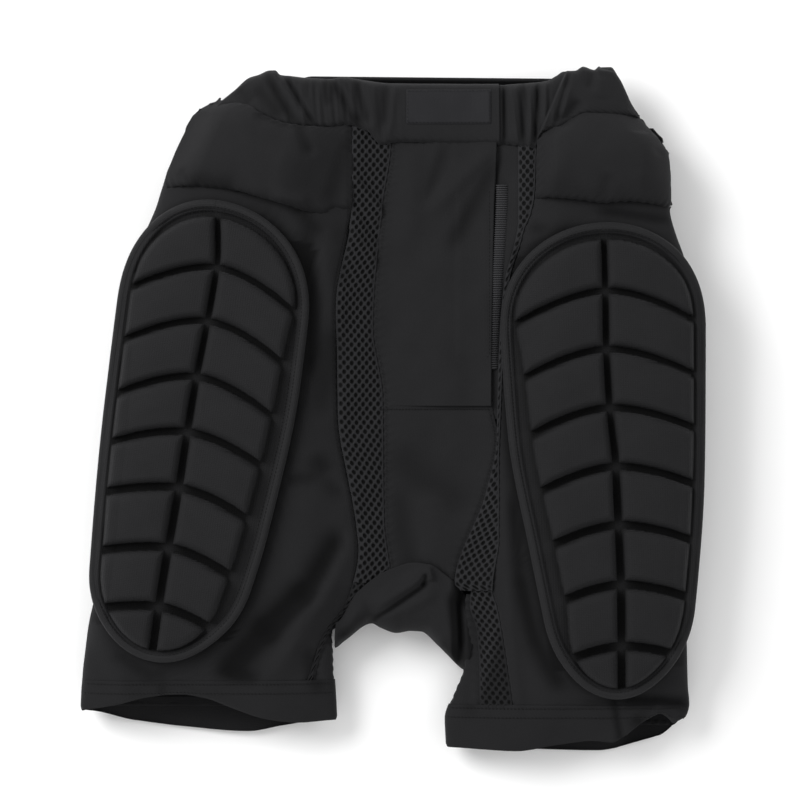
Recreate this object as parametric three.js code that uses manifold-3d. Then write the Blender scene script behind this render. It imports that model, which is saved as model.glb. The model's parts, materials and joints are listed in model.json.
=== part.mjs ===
// Padded impact shorts for snow sports, lying on their back on a flat surface with the front up.
// Millimetres. +Z is up from the surface, +Y runs from the leg hems to the waist and +X towards the
// wearer's left hip. The origin is on the surface, under the middle of the shorts.
import * as THREE from "three";
import Module from "manifold-3d";
import { mergeVertices } from "three/addons/utils/BufferGeometryUtils.js";

const wasm = await Module();
wasm.setup();

// ---- Driving dimensions ---------------------------------------------------------------------

const DRAFT_WIDTH = 452; // the size that the pattern curves below are drafted for
const DRAFT_LENGTH = 499;
const WIDTH = 452; // across the thigh pads, laid flat
const LENGTH = 499; // waist to hem, laid flat
const LOFT = 1; // how full the laid garment is, 1 as the pads hold it open

const CLOTH = 1.6; // stretch cloth with its lining
const GAP = 0.5; // clearance between sewn neighbours
const MESH_CLOTH = 2.4; // spacer mesh
const PATCH = 1.1; // each half of the hook and loop tape
const ELASTIC = 1.1; // waist elastic
const CASING_WALL = 0.9; // one layer of the waistband casing
const ROUNDNESS = 3.4; // power of the tubes' cross-section: 2 is an ellipse

const PAD_BACKING = 1.8; // board behind a thigh pad
const PAD_BASE = 3.2; // foam left at the bottom of the grooves
const PAD_BLOCK = 9.5; // height of the foam blocks above that
const PAD_ROWS = 8;
const PAD_GROOVE = 6.5; // groove between blocks, at mid height
const PAD_BORDER = 13; // flat rim between the blocks and the pad's edge
const PAD_SLOPE = 2.2; // run of a block's side
const PAD_INSET = 5; // from the garment's side edge to the pad's edge, in plan
const BINDING_WIDTH = 5;
const BINDING_HEIGHT = 7;
const BINDING_GAP = 0.9; // clearance round the pad

const HIP_FOAM = 15; // hip cushion, at its middle
const HEM = 19; // depth of the turned hem

const FOLD_Y = -36; // line across the thighs where the legs fold up
const FOLD_GAP = 1.2;

// ---- Pattern curves ------------------------------------------------------------------------

const gradeX = WIDTH / DRAFT_WIDTH;
const gradeY = LENGTH / DRAFT_LENGTH;
const foldY = FOLD_Y * gradeY;

// A smooth curve through [y, value] pairs of the draft that never overshoots them. It takes a graded y.
function alongY(points, grade) {
  const knots = [...points].sort((a, b) => a[0] - b[0]);
  const slope = knots.map((k, i) => {
    const before = knots[Math.max(i - 1, 0)];
    const after = knots[Math.min(i + 1, knots.length - 1)];
    const left = i ? (k[1] - before[1]) / (k[0] - before[0]) : 0;
    const right = i < knots.length - 1 ? (after[1] - k[1]) / (after[0] - k[0]) : 0;
    return left * right > 0 ? (2 * left * right) / (left + right) : 0;
  });
  return (gradedY) => {
    const y = Math.min(Math.max(gradedY / gradeY, knots[0][0]), knots.at(-1)[0]);
    const i = Math.max(1, knots.findIndex((k) => y <= k[0]));
    const [y0, v0] = knots[i - 1];
    const [y1, v1] = knots[i];
    const span = y1 - y0;
    const t = (y - y0) / span;
    const value =
      v0 * (1 + 2 * t) * (1 - t) ** 2 +
      slope[i - 1] * span * t * (1 - t) ** 2 +
      v1 * t * t * (3 - 2 * t) +
      slope[i] * span * t * t * (t - 1);
    return value * grade;
  };
}
const across = (points) => alongY(points, gradeX); // a line up the garment, as its x at each y
const height = (points) => alongY(points, LOFT); // a height above the surface at each y

// Each side is one tube: outer and inner are its edges in plan and crest the line of its top.
// closed is 0 where the tube is open to the other side, and 1 down the leg.
const SIDES = {
  right: {
    sign: -1,
    outer: across([
      [250, -98], [232, -113], [214, -135], [190, -149], [160, -163], [130, -180],
      [100, -190], [50, -195], [-60, -204], [-170, -214], [-236, -222],
    ]),
    crest: across([[250, -40], [180, -78], [120, -118], [0, -140], [-122, -158], [-236, -150]]),
    inner: across([[-100, 26.4], [-112, 8], [-129, -13], [-148, -34], [-162, -42], [-236, -41]]),
    closed: alongY([[-112, 0], [-160, 1]], 1),
    hemFront: -224,
    hemBack: -236,
  },
  left: {
    sign: 1,
    outer: across([
      [250, 160], [231, 171], [208, 188], [190, 197], [150, 200], [118, 203], [90, 212],
      [50, 217], [-28, 216], [-108, 212], [-165, 209], [-210, 212], [-249, 196],
    ]),
    crest: across([[250, 96], [180, 118], [120, 144], [0, 153], [-122, 160], [-249, 135]]),
    inner: across([
      [-100, 27.6], [-115, 46], [-128, 57], [-140, 60], [-184, 60], [-205, 52], [-228, 41], [-249, 38],
    ]),
    closed: alongY([[-120, 0], [-186, 1]], 1),
    hemFront: -240,
    hemBack: -249,
  },
};
const centreX = 27 * gradeX; // centre front, which lies off the middle as the garment is laid

const topSide = height([[250, 36], [205, 47], [160, 53], [60, 54], [-120, 50], [-200, 40], [-249, 30]]);
const topCentre = height([[250, 34], [150, 36], [0, 37], [-110, 35], [-170, 32]]);
const bottom = height([[250, 7], [185, 12], [150, 15], [10, 15], [-50, 7], [-120, 5], [-249, 4]]);
const middle = height([[250, 19], [150, 33], [0, 31], [-120, 26], [-200, 20], [-249, 14]]);

const smooth = (t) => {
  const s = Math.min(Math.max(t, 0), 1);
  return s * s * (3 - 2 * s);
};
const mix = (a, b, t) => a + (b - a) * t;

// Height of the crown of the front at a plan point: low down the middle, high over the thighs.
function crown(x, y) {
  return mix(topCentre(y), topSide(y), smooth((Math.abs(x - centreX) - 25) / 75));
}

// A point of one side's tube. turn is in half circles: 0 at the outer edge, 0.5 over the crest,
// 1 at the inner edge, and negative round the back.
function tube(side, turn, y) {
  const { sign, outer, crest, inner, closed } = SIDES[side];
  const angle = turn * Math.PI;
  const c = Math.cos(angle);
  const s = Math.sin(angle);
  const reach = c >= 0 ? Math.abs(outer(y) - crest(y)) : Math.abs(crest(y) - inner(y));
  const x = crest(y) + sign * reach * Math.sign(c) * Math.abs(c) ** (2 / ROUNDNESS);
  const round = Math.abs(s) ** (2 / ROUNDNESS);
  const share = c >= 0 ? round : mix(1, round, closed(y));
  const top = crown(x, y) - middle(y);
  return new THREE.Vector3(x, y, middle(y) + (s >= 0 ? top : bottom(y) - middle(y)) * share);
}

// The turn at which a tube passes over, or under if back is true, a plan position x.
function turnAt(side, x, y, back = false) {
  const { sign, outer, crest, inner } = SIDES[side];
  const off = (x - crest(y)) * sign;
  const reach = off >= 0 ? Math.abs(outer(y) - crest(y)) : Math.abs(crest(y) - inner(y));
  const share = Math.min(Math.abs(off) / reach, 1) ** (ROUNDNESS / 2);
  const turn = Math.acos(Math.sign(off) * share) / Math.PI;
  return back ? -turn : turn;
}

// The front cloth at a plan point.
function front(x, y) {
  const side = x < centreX ? "right" : "left";
  const p = tube(side, turnAt(side, x, y), y);
  return new THREE.Vector3(x, y, p.z);
}

// The back cloth at a plan point.
function rear(x, y) {
  const side = x < centreX ? "right" : "left";
  const p = tube(side, turnAt(side, x, y, true), y);
  return new THREE.Vector3(x, y, p.z);
}

// ---- Solids --------------------------------------------------------------------------------

// Unit normal of place(u, v), with faces counted out of the garment when u and v run by rule.
function normalAt(place, u, v, flip) {
  const step = 0.004;
  const du = place(u + step, v).sub(place(u - step, v));
  const dv = place(u, v + step).sub(place(u, v - step));
  return du.cross(dv).normalize().multiplyScalar(flip ? -1 : 1);
}

function geometryOf(points, faces) {
  const geometry = new THREE.BufferGeometry();
  const flat = points.flatMap((p) => [p.x, p.y, p.z]);
  geometry.setAttribute("position", new THREE.Float32BufferAttribute(flat, 3));
  geometry.setIndex(faces.flat());
  return geometry;
}

// Turns a closed set of faces the right way out.
function facingOut(points, faces) {
  let volume = 0;
  for (const [a, b, c] of faces) volume += points[a].dot(points[b].clone().cross(points[c]));
  return volume < 0 ? faces.map(([a, b, c]) => [a, c, b]) : faces;
}

const evenly = (n) => Array.from({ length: n + 1 }, (_, i) => i / n);

// The solid between two sheets of points, each given as a function of u and v. columns and rows
// are counts, or the lists of u and v to place points at.
function between(lowAt, highAt, columns, rows) {
  const us = Array.isArray(columns) ? columns : evenly(columns);
  const vs = Array.isArray(rows) ? rows : evenly(rows);
  const points = [lowAt, highAt].flatMap((at) => vs.flatMap((v) => us.map((u) => at(u, v))));
  const wide = us.length;
  const count = wide * vs.length;
  const faces = [];
  const quad = (a, b, c, d) => faces.push([a, b, c], [a, c, d]);
  for (let j = 0; j < vs.length - 1; j++)
    for (let i = 0; i < wide - 1; i++) {
      const k = j * wide + i;
      quad(k, k + wide, k + wide + 1, k + 1);
      const base = count + k;
      faces.push([base, base + wide + 1, base + wide], [base, base + 1, base + wide + 1]);
    }
  const rim = [];
  for (let i = 0; i < wide - 1; i++) rim.push(i);
  for (let j = 0; j < vs.length - 1; j++) rim.push(j * wide + wide - 1);
  for (let i = wide - 1; i > 0; i--) rim.push(count - wide + i);
  for (let j = vs.length - 1; j > 0; j--) rim.push(j * wide);
  rim.forEach((k, i) => {
    const next = rim[(i + 1) % rim.length];
    quad(k, next, count + next, count + k);
  });
  return geometryOf(points, facingOut(points, faces));
}

// A slab that follows place(u, v), from low to high along its normal. Each may be a function of u and v.
function slab(place, columns, rows, low, high, { flip = false } = {}) {
  const at = (offset) => (u, v) => {
    const rise = typeof offset === "function" ? offset(u, v) : offset;
    return place(u, v).addScaledVector(normalAt(place, u, v, flip), rise);
  };
  return between(at(low), at(high), columns, rows);
}

// A closed profile of [outward, up] pairs carried round a closed loop of {at, out, up} stations.
function hoop(stations, profile) {
  const points = [];
  for (const { at, out, up } of stations)
    for (const [o, h] of profile) points.push(at.clone().addScaledVector(out, o).addScaledVector(up, h));
  const n = profile.length;
  const faces = [];
  stations.forEach((_, i) => {
    const a = i * n;
    const b = ((i + 1) % stations.length) * n;
    for (let k = 0; k < n; k++) {
      const l = (k + 1) % n;
      faces.push([a + k, b + k, b + l], [a + k, b + l, a + l]);
    }
  });
  return geometryOf(points, facingOut(points, faces));
}

// A closed profile of [v, rise] pairs carried along u, with flat ends.
function channel(place, columns, profile, flip = false) {
  const points = [];
  for (let i = 0; i <= columns; i++)
    for (const [v, rise] of profile) {
      const u = i / columns;
      points.push(place(u, v).addScaledVector(normalAt(place, u, v, flip), rise));
    }
  const n = profile.length;
  const faces = [];
  for (let i = 0; i < columns; i++)
    for (let k = 0; k < n; k++) {
      const l = (k + 1) % n;
      faces.push([i * n + k, (i + 1) * n + k, (i + 1) * n + l], [i * n + k, (i + 1) * n + l, i * n + l]);
    }
  const outline = profile.map(([v, rise]) => new THREE.Vector2(v * 40, rise));
  const end = THREE.ShapeUtils.triangulateShape(outline, []);
  const clockwise = THREE.ShapeUtils.isClockWise(outline);
  for (const [a, b, c] of end) {
    const [p, q] = clockwise ? [c, b] : [b, c];
    faces.push([a, p, q], [columns * n + a, columns * n + q, columns * n + p]);
  }
  return geometryOf(points, facingOut(points, faces));
}

function solidOf(geometry) {
  const bare = new THREE.BufferGeometry();
  bare.setAttribute("position", geometry.getAttribute("position"));
  if (geometry.index) bare.setIndex(geometry.index);
  const merged = mergeVertices(bare, 1e-4);
  return new wasm.Manifold(
    new wasm.Mesh({
      numProp: 3,
      vertProperties: merged.attributes.position.array,
      triVerts: new Uint32Array(merged.index.array),
    }),
  );
}

function geometryFrom(solid) {
  const { vertProperties, triVerts } = solid.getMesh();
  const geometry = new THREE.BufferGeometry();
  geometry.setAttribute("position", new THREE.BufferAttribute(vertProperties, 3));
  return geometry.setIndex(new THREE.BufferAttribute(triVerts, 1));
}

// A block of space beyond a vertical plane through a plan point, on the side that facing points to.
function halfSpace(x, y, facing) {
  const size = 1200;
  const box = new THREE.BoxGeometry(size, size, size);
  box.translate(size / 2, 0, 0);
  box.rotateZ(Math.atan2(facing[1], facing[0]));
  box.translate(x, y, 0);
  return solidOf(box);
}
const aboveFold = halfSpace(0, foldY + FOLD_GAP / 2, [0, 1]);
const belowFold = halfSpace(0, foldY - FOLD_GAP / 2, [0, -1]);

// ---- The model -----------------------------------------------------------------------------

const shorts = new THREE.Group();
shorts.name = "impact_shorts";

const FINISH = {
  cloth: { color: 0x1d1d1f, roughness: 0.85 },
  mesh: { color: 0x161617, roughness: 0.9 },
  foam: { color: 0x222224, roughness: 0.8 },
  binding: { color: 0x1a1a1b, roughness: 0.7 },
  tape: { color: 0x101011, roughness: 0.95 },
  elastic: { color: 0x262628, roughness: 0.9 },
  backing: { color: 0x141415, roughness: 0.9 },
};

function add(name, geometry, finish) {
  const mesh = new THREE.Mesh(geometry, new THREE.MeshStandardMaterial({ ...FINISH[finish], metalness: 0 }));
  mesh.name = name;
  shorts.add(mesh);
}

// Adds a piece that crosses the fold as its two lengths.
function addFolded(name, geometry, finish) {
  const solid = solidOf(geometry);
  add(name + "_upper", geometryFrom(solid.intersect(aboveFold)), finish);
  add(name + "_lower", geometryFrom(solid.intersect(belowFold)), finish);
}

// A patch of cloth in plan: u runs between two lines up the garment and v from top to bottom.
// top and bottom are y values or functions of u.
function patch(surface, left, right, top, low) {
  const at = (edge, u) => (typeof edge === "function" ? edge(u) : edge) * gradeY;
  return (u, v) => {
    const y = mix(at(top, u), at(low, u), v);
    return surface(mix(left(y), right(y), u), y);
  };
}
const line = (x) => () => x * gradeX;
const shifted = (curve, by) => (y) => curve(y) + by;

// Seams, as x at each y
const panelRight = across([[195, 0], [150, -6], [60, -13], [10, -6], [-80, -5], [-125, 0]]);
const flyEdge = across([[195, 76], [150, 74], [4, 72]]);
const panelLeft = across([[4, 73], [-20, 77], [-60, 68], [-125, 47]]);
const legRight = across([
  [205, -28], [150, -28], [75, -39], [0, -38], [-80, -25], [-100, -23], [-136, -31], [-165, -50],
  [-194, -60], [-236, -76],
]);
const legLeft = across([
  [203, 111], [150, 101], [120, 95], [60, 88], [0, 84], [-80, 79], [-150, 84], [-249, 91],
]);
const spines = {
  right: across([[200, -112], [135, -121], [-170, -168], [-236, -170]]), // under the pad's middle
  left: across([[200, 150], [130, 153], [-200, 164], [-249, 164]]),
};
const centreSeams = { right: legRight, left: legLeft };

// ---- Waistband: a casing folded over an elastic ----
const CASING_DEPTH = ELASTIC / 2 + 0.5;
const casing = [
  [0, CASING_DEPTH + CASING_WALL], [1, CASING_DEPTH + CASING_WALL],
  [1, -CASING_DEPTH - CASING_WALL], [0, -CASING_DEPTH - CASING_WALL],
  [0, -CASING_DEPTH], [0.95, -CASING_DEPTH], [0.95, CASING_DEPTH], [0, CASING_DEPTH],
];
const bandHalf = CASING_DEPTH + CASING_WALL;
const ramp = (from, to, x0, x1) => (x) => mix(from, to, smooth((x / gradeX - x0) / (x1 - x0)));
const rightTop = ramp(222, 240, -118, -68);
const rightLow = ramp(208, 194, -34, -8);
const leftTop = ramp(240, 246, 90, 130);
const leftLow = ramp(190, 216, 96, 118);
const rearTop = ramp(222, 243, -112, -60);
const REAR_LOW = 206;
const TAB_LIFT = 5.6; // the tab's middle above the front cloth
const UNDER_LIFT = -1.4; // the same for the end of the band that it closes over

// A stretch of band between two x positions; v runs straight from its lower edge to its top.
function band(surface, x0, x1, lower, upper, lift) {
  const at = (edge, x) => (typeof edge === "function" ? edge(x) : edge) * gradeY;
  return (u, v) => {
    const x = mix(x0, x1, u) * gradeX;
    const p = surface(x, at(lower, x)).lerp(surface(x, at(upper, x)), v);
    p.z += lift;
    return p;
  };
}
const within = (place, u0, u1, v0, v1) => (u, v) => place(mix(u0, u1, u), mix(v0, v1, v));

// The line that the fly flap folds back on, from the waist to the foot of the opening
const FLAP_TOP = [6.5, 246];
const FLAP_FOOT = [71.5, 3];
const FLAP_GAP = 1.4;
const flapRun = [(FLAP_FOOT[0] - FLAP_TOP[0]) * gradeX, (FLAP_FOOT[1] - FLAP_TOP[1]) * gradeY];
const flapLength = Math.hypot(...flapRun);
const flapOut = flapRun.map((_, k) => [-flapRun[1], flapRun[0]][k] / flapLength);
const flapSpot = (by) => FLAP_TOP.map((c, k) => c * [gradeX, gradeY][k] + flapOut[k] * by);
const flapSide = halfSpace(...flapSpot(FLAP_GAP / 2), flapOut);
const bodySide = halfSpace(...flapSpot(-FLAP_GAP / 2), flapOut.map((c) => -c));

// Adds a piece that crosses that line as its fixed and its moving part.
function addFlapped(fixedName, movingName, geometry, finish) {
  const solid = solidOf(geometry);
  add(fixedName, geometryFrom(solid.intersect(bodySide)), finish);
  add(movingName, geometryFrom(solid.intersect(flapSide)), finish);
}

const rightBand = band(front, -108, 76, rightLow, rightTop, TAB_LIFT);
addFlapped("waistband_right", "waist_tab", channel(rightBand, 24, casing), "cloth");
const rightElastic = within(rightBand, 3 / 24, 9 / 24, 0.12, 0.85);
const rightElasticSolid = solidOf(slab(rightElastic, 6, 1, -ELASTIC / 2, ELASTIC / 2));
add("elastic_right", geometryFrom(rightElasticSolid.intersect(bodySide)), "elastic");

const leftBand = band(front, 28, 158, leftLow, leftTop, UNDER_LIFT);
add("waistband_left", channel(leftBand, 12, casing), "cloth");
const leftElastic = within(leftBand, 1 / 12, 11 / 12, 0.08, 0.9);
add("elastic_left", slab(leftElastic, 10, 1, -ELASTIC / 2, ELASTIC / 2), "elastic");

const rearBand = band(rear, -112, 166, REAR_LOW, rearTop, 0);
add("waistband_rear", channel(rearBand, 12, casing, true), "cloth");
const rearElastic = within(rearBand, 1 / 12, 11 / 12, 0.08, 0.9);
add("elastic_rear", slab(rearElastic, 10, 1, -ELASTIC / 2, ELASTIC / 2, { flip: true }), "elastic");
const LABEL = 0.6;
const labelPlace = band(rear, 2, 40, 209, 231, 0);
add("size_label", slab(labelPlace, 2, 1, -bandHalf - 0.4 - LABEL, -bandHalf - 0.4, { flip: true }), "tape");

const waistTape = band(front, 42, 70, 204, 234, 0);
const loopLow = UNDER_LIFT + bandHalf + 0.35;
add("waist_loop_patch", slab(waistTape, 2, 1, loopLow, loopLow + PATCH), "tape");
const hookTop = TAB_LIFT - bandHalf - 0.35;
add("waist_hook_patch", slab(waistTape, 2, 1, hookTop - PATCH, hookTop), "tape");
const badgeLow = TAB_LIFT + bandHalf + 0.4;
add("waist_badge", slab(band(front, 23, 70, 207, 232, 0), 4, 1, badgeLow, badgeLow + 0.7), "binding");

// ---- Fly: flap, underlap, and the hook and loop between them ----
const FLAP_LIFT = 3; // the flap's middle above the front cloth
const flyPanel = patch(front, shifted(panelRight, GAP), flyEdge, 192.4, 4.5);
addFlapped("fly_panel", "fly_flap",
  slab(flyPanel, 7, 9, FLAP_LIFT - CLOTH / 2, FLAP_LIFT + CLOTH / 2, { flip: true }), "cloth");
const UNDERLAP_TOP = -1.1;
const underlap = patch(front, line(44), (y) => legLeft(y) - 6 * gradeX, 187, -2);
add("fly_underlap", slab(underlap, 3, 8, UNDERLAP_TOP - CLOTH, UNDERLAP_TOP, { flip: true }), "cloth");
const flyTape = patch(front, line(50), line(71), 156, 42);
const flyLoop = UNDERLAP_TOP + 0.4;
add("fly_loop_strip", slab(flyTape, 2, 7, flyLoop, flyLoop + PATCH, { flip: true }), "tape");
const flyHook = FLAP_LIFT - CLOTH / 2 - 0.4;
const hookTape = solidOf(slab(flyTape, 2, 7, flyHook - PATCH, flyHook, { flip: true }));
add("fly_hook_strip", geometryFrom(hookTape.intersect(flapSide)), "tape");

// ---- Front centre, below the fly ----
const lowerPanel = patch(front, shifted(panelRight, GAP), shifted(panelLeft, -GAP * 2), 2.6,
  (u) => -126 + 13 * Math.sin(Math.PI * u));
addFolded("front_panel", slab(lowerPanel, 4, 10, 0, CLOTH, { flip: true }), "cloth");

// The gusset turns from the front, under the crotch, to the back.
const GUSSET_DEPTH = 13;
const gusset = (u, v) => {
  const x = mix(-3, 49, u) * gradeX;
  const y = (-124.4 + 13 * Math.sin(Math.PI * u)) * gradeY;
  const tuck = CLOTH + 0.9; // its front edge lies behind the edge of the front panel
  const rise = (topCentre(y) - tuck - 5 * LOFT) / 2;
  const turn = mix(0.06, 0.94, v) * Math.PI;
  const z = topCentre(y) - tuck - rise + rise * Math.cos(turn);
  return new THREE.Vector3(x, y - GUSSET_DEPTH * Math.sin(turn), z);
};
add("crotch_gusset", slab(gusset, 5, 8, 0, CLOTH, { flip: true }), "cloth");

// ---- Spacer mesh beside the front centre and down the inside of each leg ----
const meshRight = patch(front, shifted(legRight, GAP), shifted(panelRight, -GAP), 203, -124);
addFolded("mesh_front_right", slab(meshRight, 2, 10, 0, MESH_CLOTH, { flip: true }), "mesh");
const meshLeftEdge = (y) => (y > 3 * gradeY ? flyEdge(y) + GAP : panelLeft(y) + GAP);
const meshLeft = patch(front, meshLeftEdge, shifted(legLeft, -GAP), 187.5, -124);
addFolded("mesh_front_left", slab(meshLeft, 2, 18, 0, MESH_CLOTH, { flip: true }), "mesh");

// A patch on a tube between two turns, which may be functions of y.
function wrap(side, turn0, turn1, top, low) {
  const at = (edge, value) => (typeof edge === "function" ? edge(value) : edge);
  return (u, v) => {
    const y = mix(at(top, u), at(low, u), v) * gradeY;
    return tube(side, mix(at(turn0, y), at(turn1, y), u), y);
  };
}

// ---- Legs and hips, one side at a time ----
const HIP_SEAM = { right: { outer: 159, inner: 146 }, left: { outer: 146, inner: 150 } };
const HIP_TOP = { right: { outer: 206, inner: 204 }, left: { outer: 211, inner: 202 } };
const PAD_OUTLINES = {
  right: {
    left: across([[150, -170], [118, -184], [60, -198], [10, -203], [-60, -209], [-120, -212], [-180, -208]]),
    right: across([[150, -78], [118, -62], [87, -62], [18, -67], [-86, -90], [-147, -118], [-180, -130]]),
    top: (u) => 117 + 27 * Math.sin(Math.PI * u),
    low: (u) => -147 - 31 * Math.sin(Math.PI * u),
  },
  left: {
    left: across([[134, 104], [98, 86], [66, 82], [-17, 87], [-103, 104], [-165, 121], [-206, 134]]),
    right: across([[134, 204], [98, 219], [62, 224], [-51, 223], [-137, 214], [-186, 199], [-206, 190]]),
    top: (u) => 99 + 35 * Math.sin(Math.PI * u),
    low: (u) => -174 - 32 * Math.sin(Math.PI * u),
  },
};

// Where the points go along a row of blocks: ends bound the blocks, border is the flat rim before the
// first and after the last, half is half a groove and slope the run of a block's side.
function padLines(ends, border, half, slope, middles) {
  const all = [0];
  const raised = new Set();
  ends.slice(1).forEach((end, k) => {
    const from = k ? ends[k] + half : border;
    const to = k < ends.length - 2 ? end - half : 1 - border;
    const tops = [from + slope, to - slope];
    if (middles) tops.splice(1, 0, (from + to) / 2);
    tops.forEach((t) => raised.add(t));
    all.push(from, ...tops, to);
  });
  return { all: [...all, 1], raised };
}

// A cushion under the seat, flat where it rests, in plan an ellipse with squared ends.
function seatPad(name, x, y, halfWidth, halfLength) {
  const spot = (u, v) => {
    const a = 2 * u - 1;
    const b = 2 * v - 1;
    return [
      (x + halfWidth * a * Math.sqrt(1 - 0.4 * b * b)) * gradeX,
      (y - halfLength * b * Math.sqrt(1 - 0.4 * a * a)) * gradeY,
    ];
  };
  const lowAt = (u, v) => new THREE.Vector3(...spot(u, v), 0);
  const highAt = (u, v) => {
    const p = rear(...spot(u, v));
    p.z -= CLOTH + 1.2;
    return p;
  };
  add(name, between(lowAt, highAt, 6, 7), "foam");
}
seatPad("tailbone_pad", 27, 84, 24, 70);

for (const side of ["right", "left"]) {
  const { sign, outer, inner, hemFront, hemBack } = SIDES[side];
  const flip = sign < 0;
  const spine = spines[side];
  const seam = centreSeams[side];
  const spineTurn = (y) => turnAt(side, spine(y), y);
  const seamTurn = (y) => turnAt(side, seam(y), y);
  const tight = (curve, by) => (y) => curve(y) + by * gradeX * sign; // by towards the outer edge

  const front0 = (u) => mix(HIP_SEAM[side].outer, HIP_SEAM[side].inner, u) - GAP;
  const thigh = wrap(side, (y) => turnAt(side, spine(y) - sign * GAP, y),
    (y) => turnAt(side, seam(y) + sign * GAP, y), (u) => Math.min(front0(u), 147), hemFront + HEM + GAP);
  addFolded("thigh_front_" + side, slab(thigh, 4, 12, 0, CLOTH, { flip }), "cloth");

  const seatTop = REAR_LOW - 1.5;
  const rearStart = (y) =>
    mix(turnAt(side, spine(y) + sign * GAP, y), -0.03, smooth((y / gradeY - 130) / 12));
  const rearEnd = (y) => mix(-0.97, -0.985, SIDES[side].closed(y));
  const rearLow = (u) => mix(hemBack, hemFront, smooth((u - 0.52) / 0.12)) + HEM + GAP;
  const rearPanel = wrap(side, rearEnd, rearStart, seatTop, rearLow);
  addFolded("thigh_rear_" + side, slab(rearPanel, 12, 16, 0, CLOTH, { flip }), "cloth");

  const insideMesh = wrap(side, (y) => turnAt(side, seam(y) - sign * GAP, y), 0.99,
    -127.5, hemFront + HEM + GAP);
  add("mesh_inner_" + side, slab(insideMesh, 3, 5, 0, MESH_CLOTH, { flip }), "mesh");

  const hemPlaceFront = wrap(side, 0.008, 0.992, hemFront + HEM, hemFront);
  add("hem_front_" + side, slab(hemPlaceFront, 12, 2, 0, CLOTH * 1.6, { flip }), "cloth");
  const hemPlaceRear = wrap(side, -0.992, -0.008, hemBack + HEM, hemBack);
  add("hem_rear_" + side, slab(hemPlaceRear, 12, 2, 0, CLOTH * 1.6, { flip }), "cloth");

  // Hip cushion between a lining and a puffed cover
  const hip = wrap(side, 0.012, (y) => turnAt(side, seam(y) + sign * GAP, y),
    (u) => mix(HIP_TOP[side].outer, HIP_TOP[side].inner, u),
    (u) => mix(HIP_SEAM[side].outer, HIP_SEAM[side].inner, u) + GAP);
  const puff = (u, v) => HIP_FOAM * (Math.sin(Math.PI * u) * Math.sin(Math.PI * v)) ** 0.6;
  const coverLow = (u, v) => 1.6 + puff(u, v);
  const hipColumns = evenly(10);
  const hipRows = evenly(6);
  add("hip_lining_" + side, slab(hip, hipColumns, hipRows, -0.4 - CLOTH / 2, -0.4, { flip }), "mesh");
  const core = slab(hip, hipColumns.slice(1, -1), hipRows.slice(1, -1), 0,
    (u, v) => coverLow(u, v) - 1, { flip });
  add("hip_foam_" + side, core, "foam");
  add("hip_cover_" + side, slab(hip, 10, 6, coverLow, (u, v) => coverLow(u, v) + CLOTH, { flip }), "cloth");

  // Thigh pad: a grooved foam moulding on a backing board, with a bound edge
  const outline = PAD_OUTLINES[side];
  const outside = (y) => outer(y) - sign * PAD_INSET * gradeX;
  const far = (y) => (sign < 0 ? Math.max(outline.left(y), outside(y)) : outline.left(y));
  const near = (y) => (sign < 0 ? outline.right(y) : Math.min(outline.right(y), outside(y)));
  const padPlace = (u, v) => {
    const y = mix(outline.top(u), outline.low(u), v) * gradeY;
    const x = u < 0.5 ? mix(far(y), spine(y), u * 2) : mix(spine(y), near(y), u * 2 - 1);
    return front(x, y);
  };
  const padLength = 310 * gradeY;
  const padHalf = 62 * gradeX;
  const columns = padLines([0, 0.5, 1], PAD_BORDER / padHalf / 2, PAD_GROOVE / padHalf / 4,
    PAD_SLOPE / padHalf / 2, true);
  const rowEnds = evenly(PAD_ROWS);
  const rows = padLines(rowEnds, PAD_BORDER / padLength, PAD_GROOVE / padLength / 2,
    PAD_SLOPE / padLength, false);
  const crest = (u, v) => PAD_BASE + (columns.raised.has(u) && rows.raised.has(v) ? PAD_BLOCK : 0);
  const foamLow = CLOTH + 1 + PAD_BACKING + 0.6;
  const foamPad = slab(padPlace, columns.all, rows.all, foamLow, (u, v) => foamLow + crest(u, v),
    { flip: true });
  addFolded("thigh_pad_foam_" + side, foamPad, "foam");
  const boardRows = rows.all.filter((_, k) => k % 2 === 0 || k === rows.all.length - 1);
  const board = slab(padPlace, columns.all, boardRows, CLOTH + 1, CLOTH + 1 + PAD_BACKING, { flip: true });
  addFolded("thigh_pad_board_" + side, board, "backing");

  const rim = [];
  for (let k = 0; k < 8; k++) rim.push([k / 8, 0]);
  for (let k = 0; k < 16; k++) rim.push([1, k / 16]);
  for (let k = 8; k > 0; k--) rim.push([k / 8, 1]);
  for (let k = 16; k > 0; k--) rim.push([0, k / 16]);
  const spots = rim.map(([u, v]) => padPlace(u, v));
  const stations = rim.map(([u, v], k) => {
    const up = normalAt(padPlace, u, v, true);
    const run = spots[(k + 1) % rim.length].clone().sub(spots.at(k - 1)).normalize();
    return { at: spots[k], up, out: up.clone().cross(run).normalize() };
  });
  const tape = [[0, 0], [BINDING_WIDTH, 0], [BINDING_WIDTH, 1], [0, 1]].map(([o, h]) =>
    [o + BINDING_GAP, CLOTH + 1.6 + h * BINDING_HEIGHT]);
  addFolded("thigh_pad_binding_" + side, hoop(stations, tape), "binding");

  // Seat cushion, flat where it rests
  seatPad("seat_pad_" + side, side === "right" ? -50 : 104, 60, 38, 60);
}

// The origin goes under the middle of the whole garment.
const extent = new THREE.Box3().setFromObject(shorts);
const centre = extent.getCenter(new THREE.Vector3());
shorts.position.set(-centre.x, -centre.y, -extent.min.z);
shorts.updateMatrixWorld(true);

export default shorts;
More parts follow.
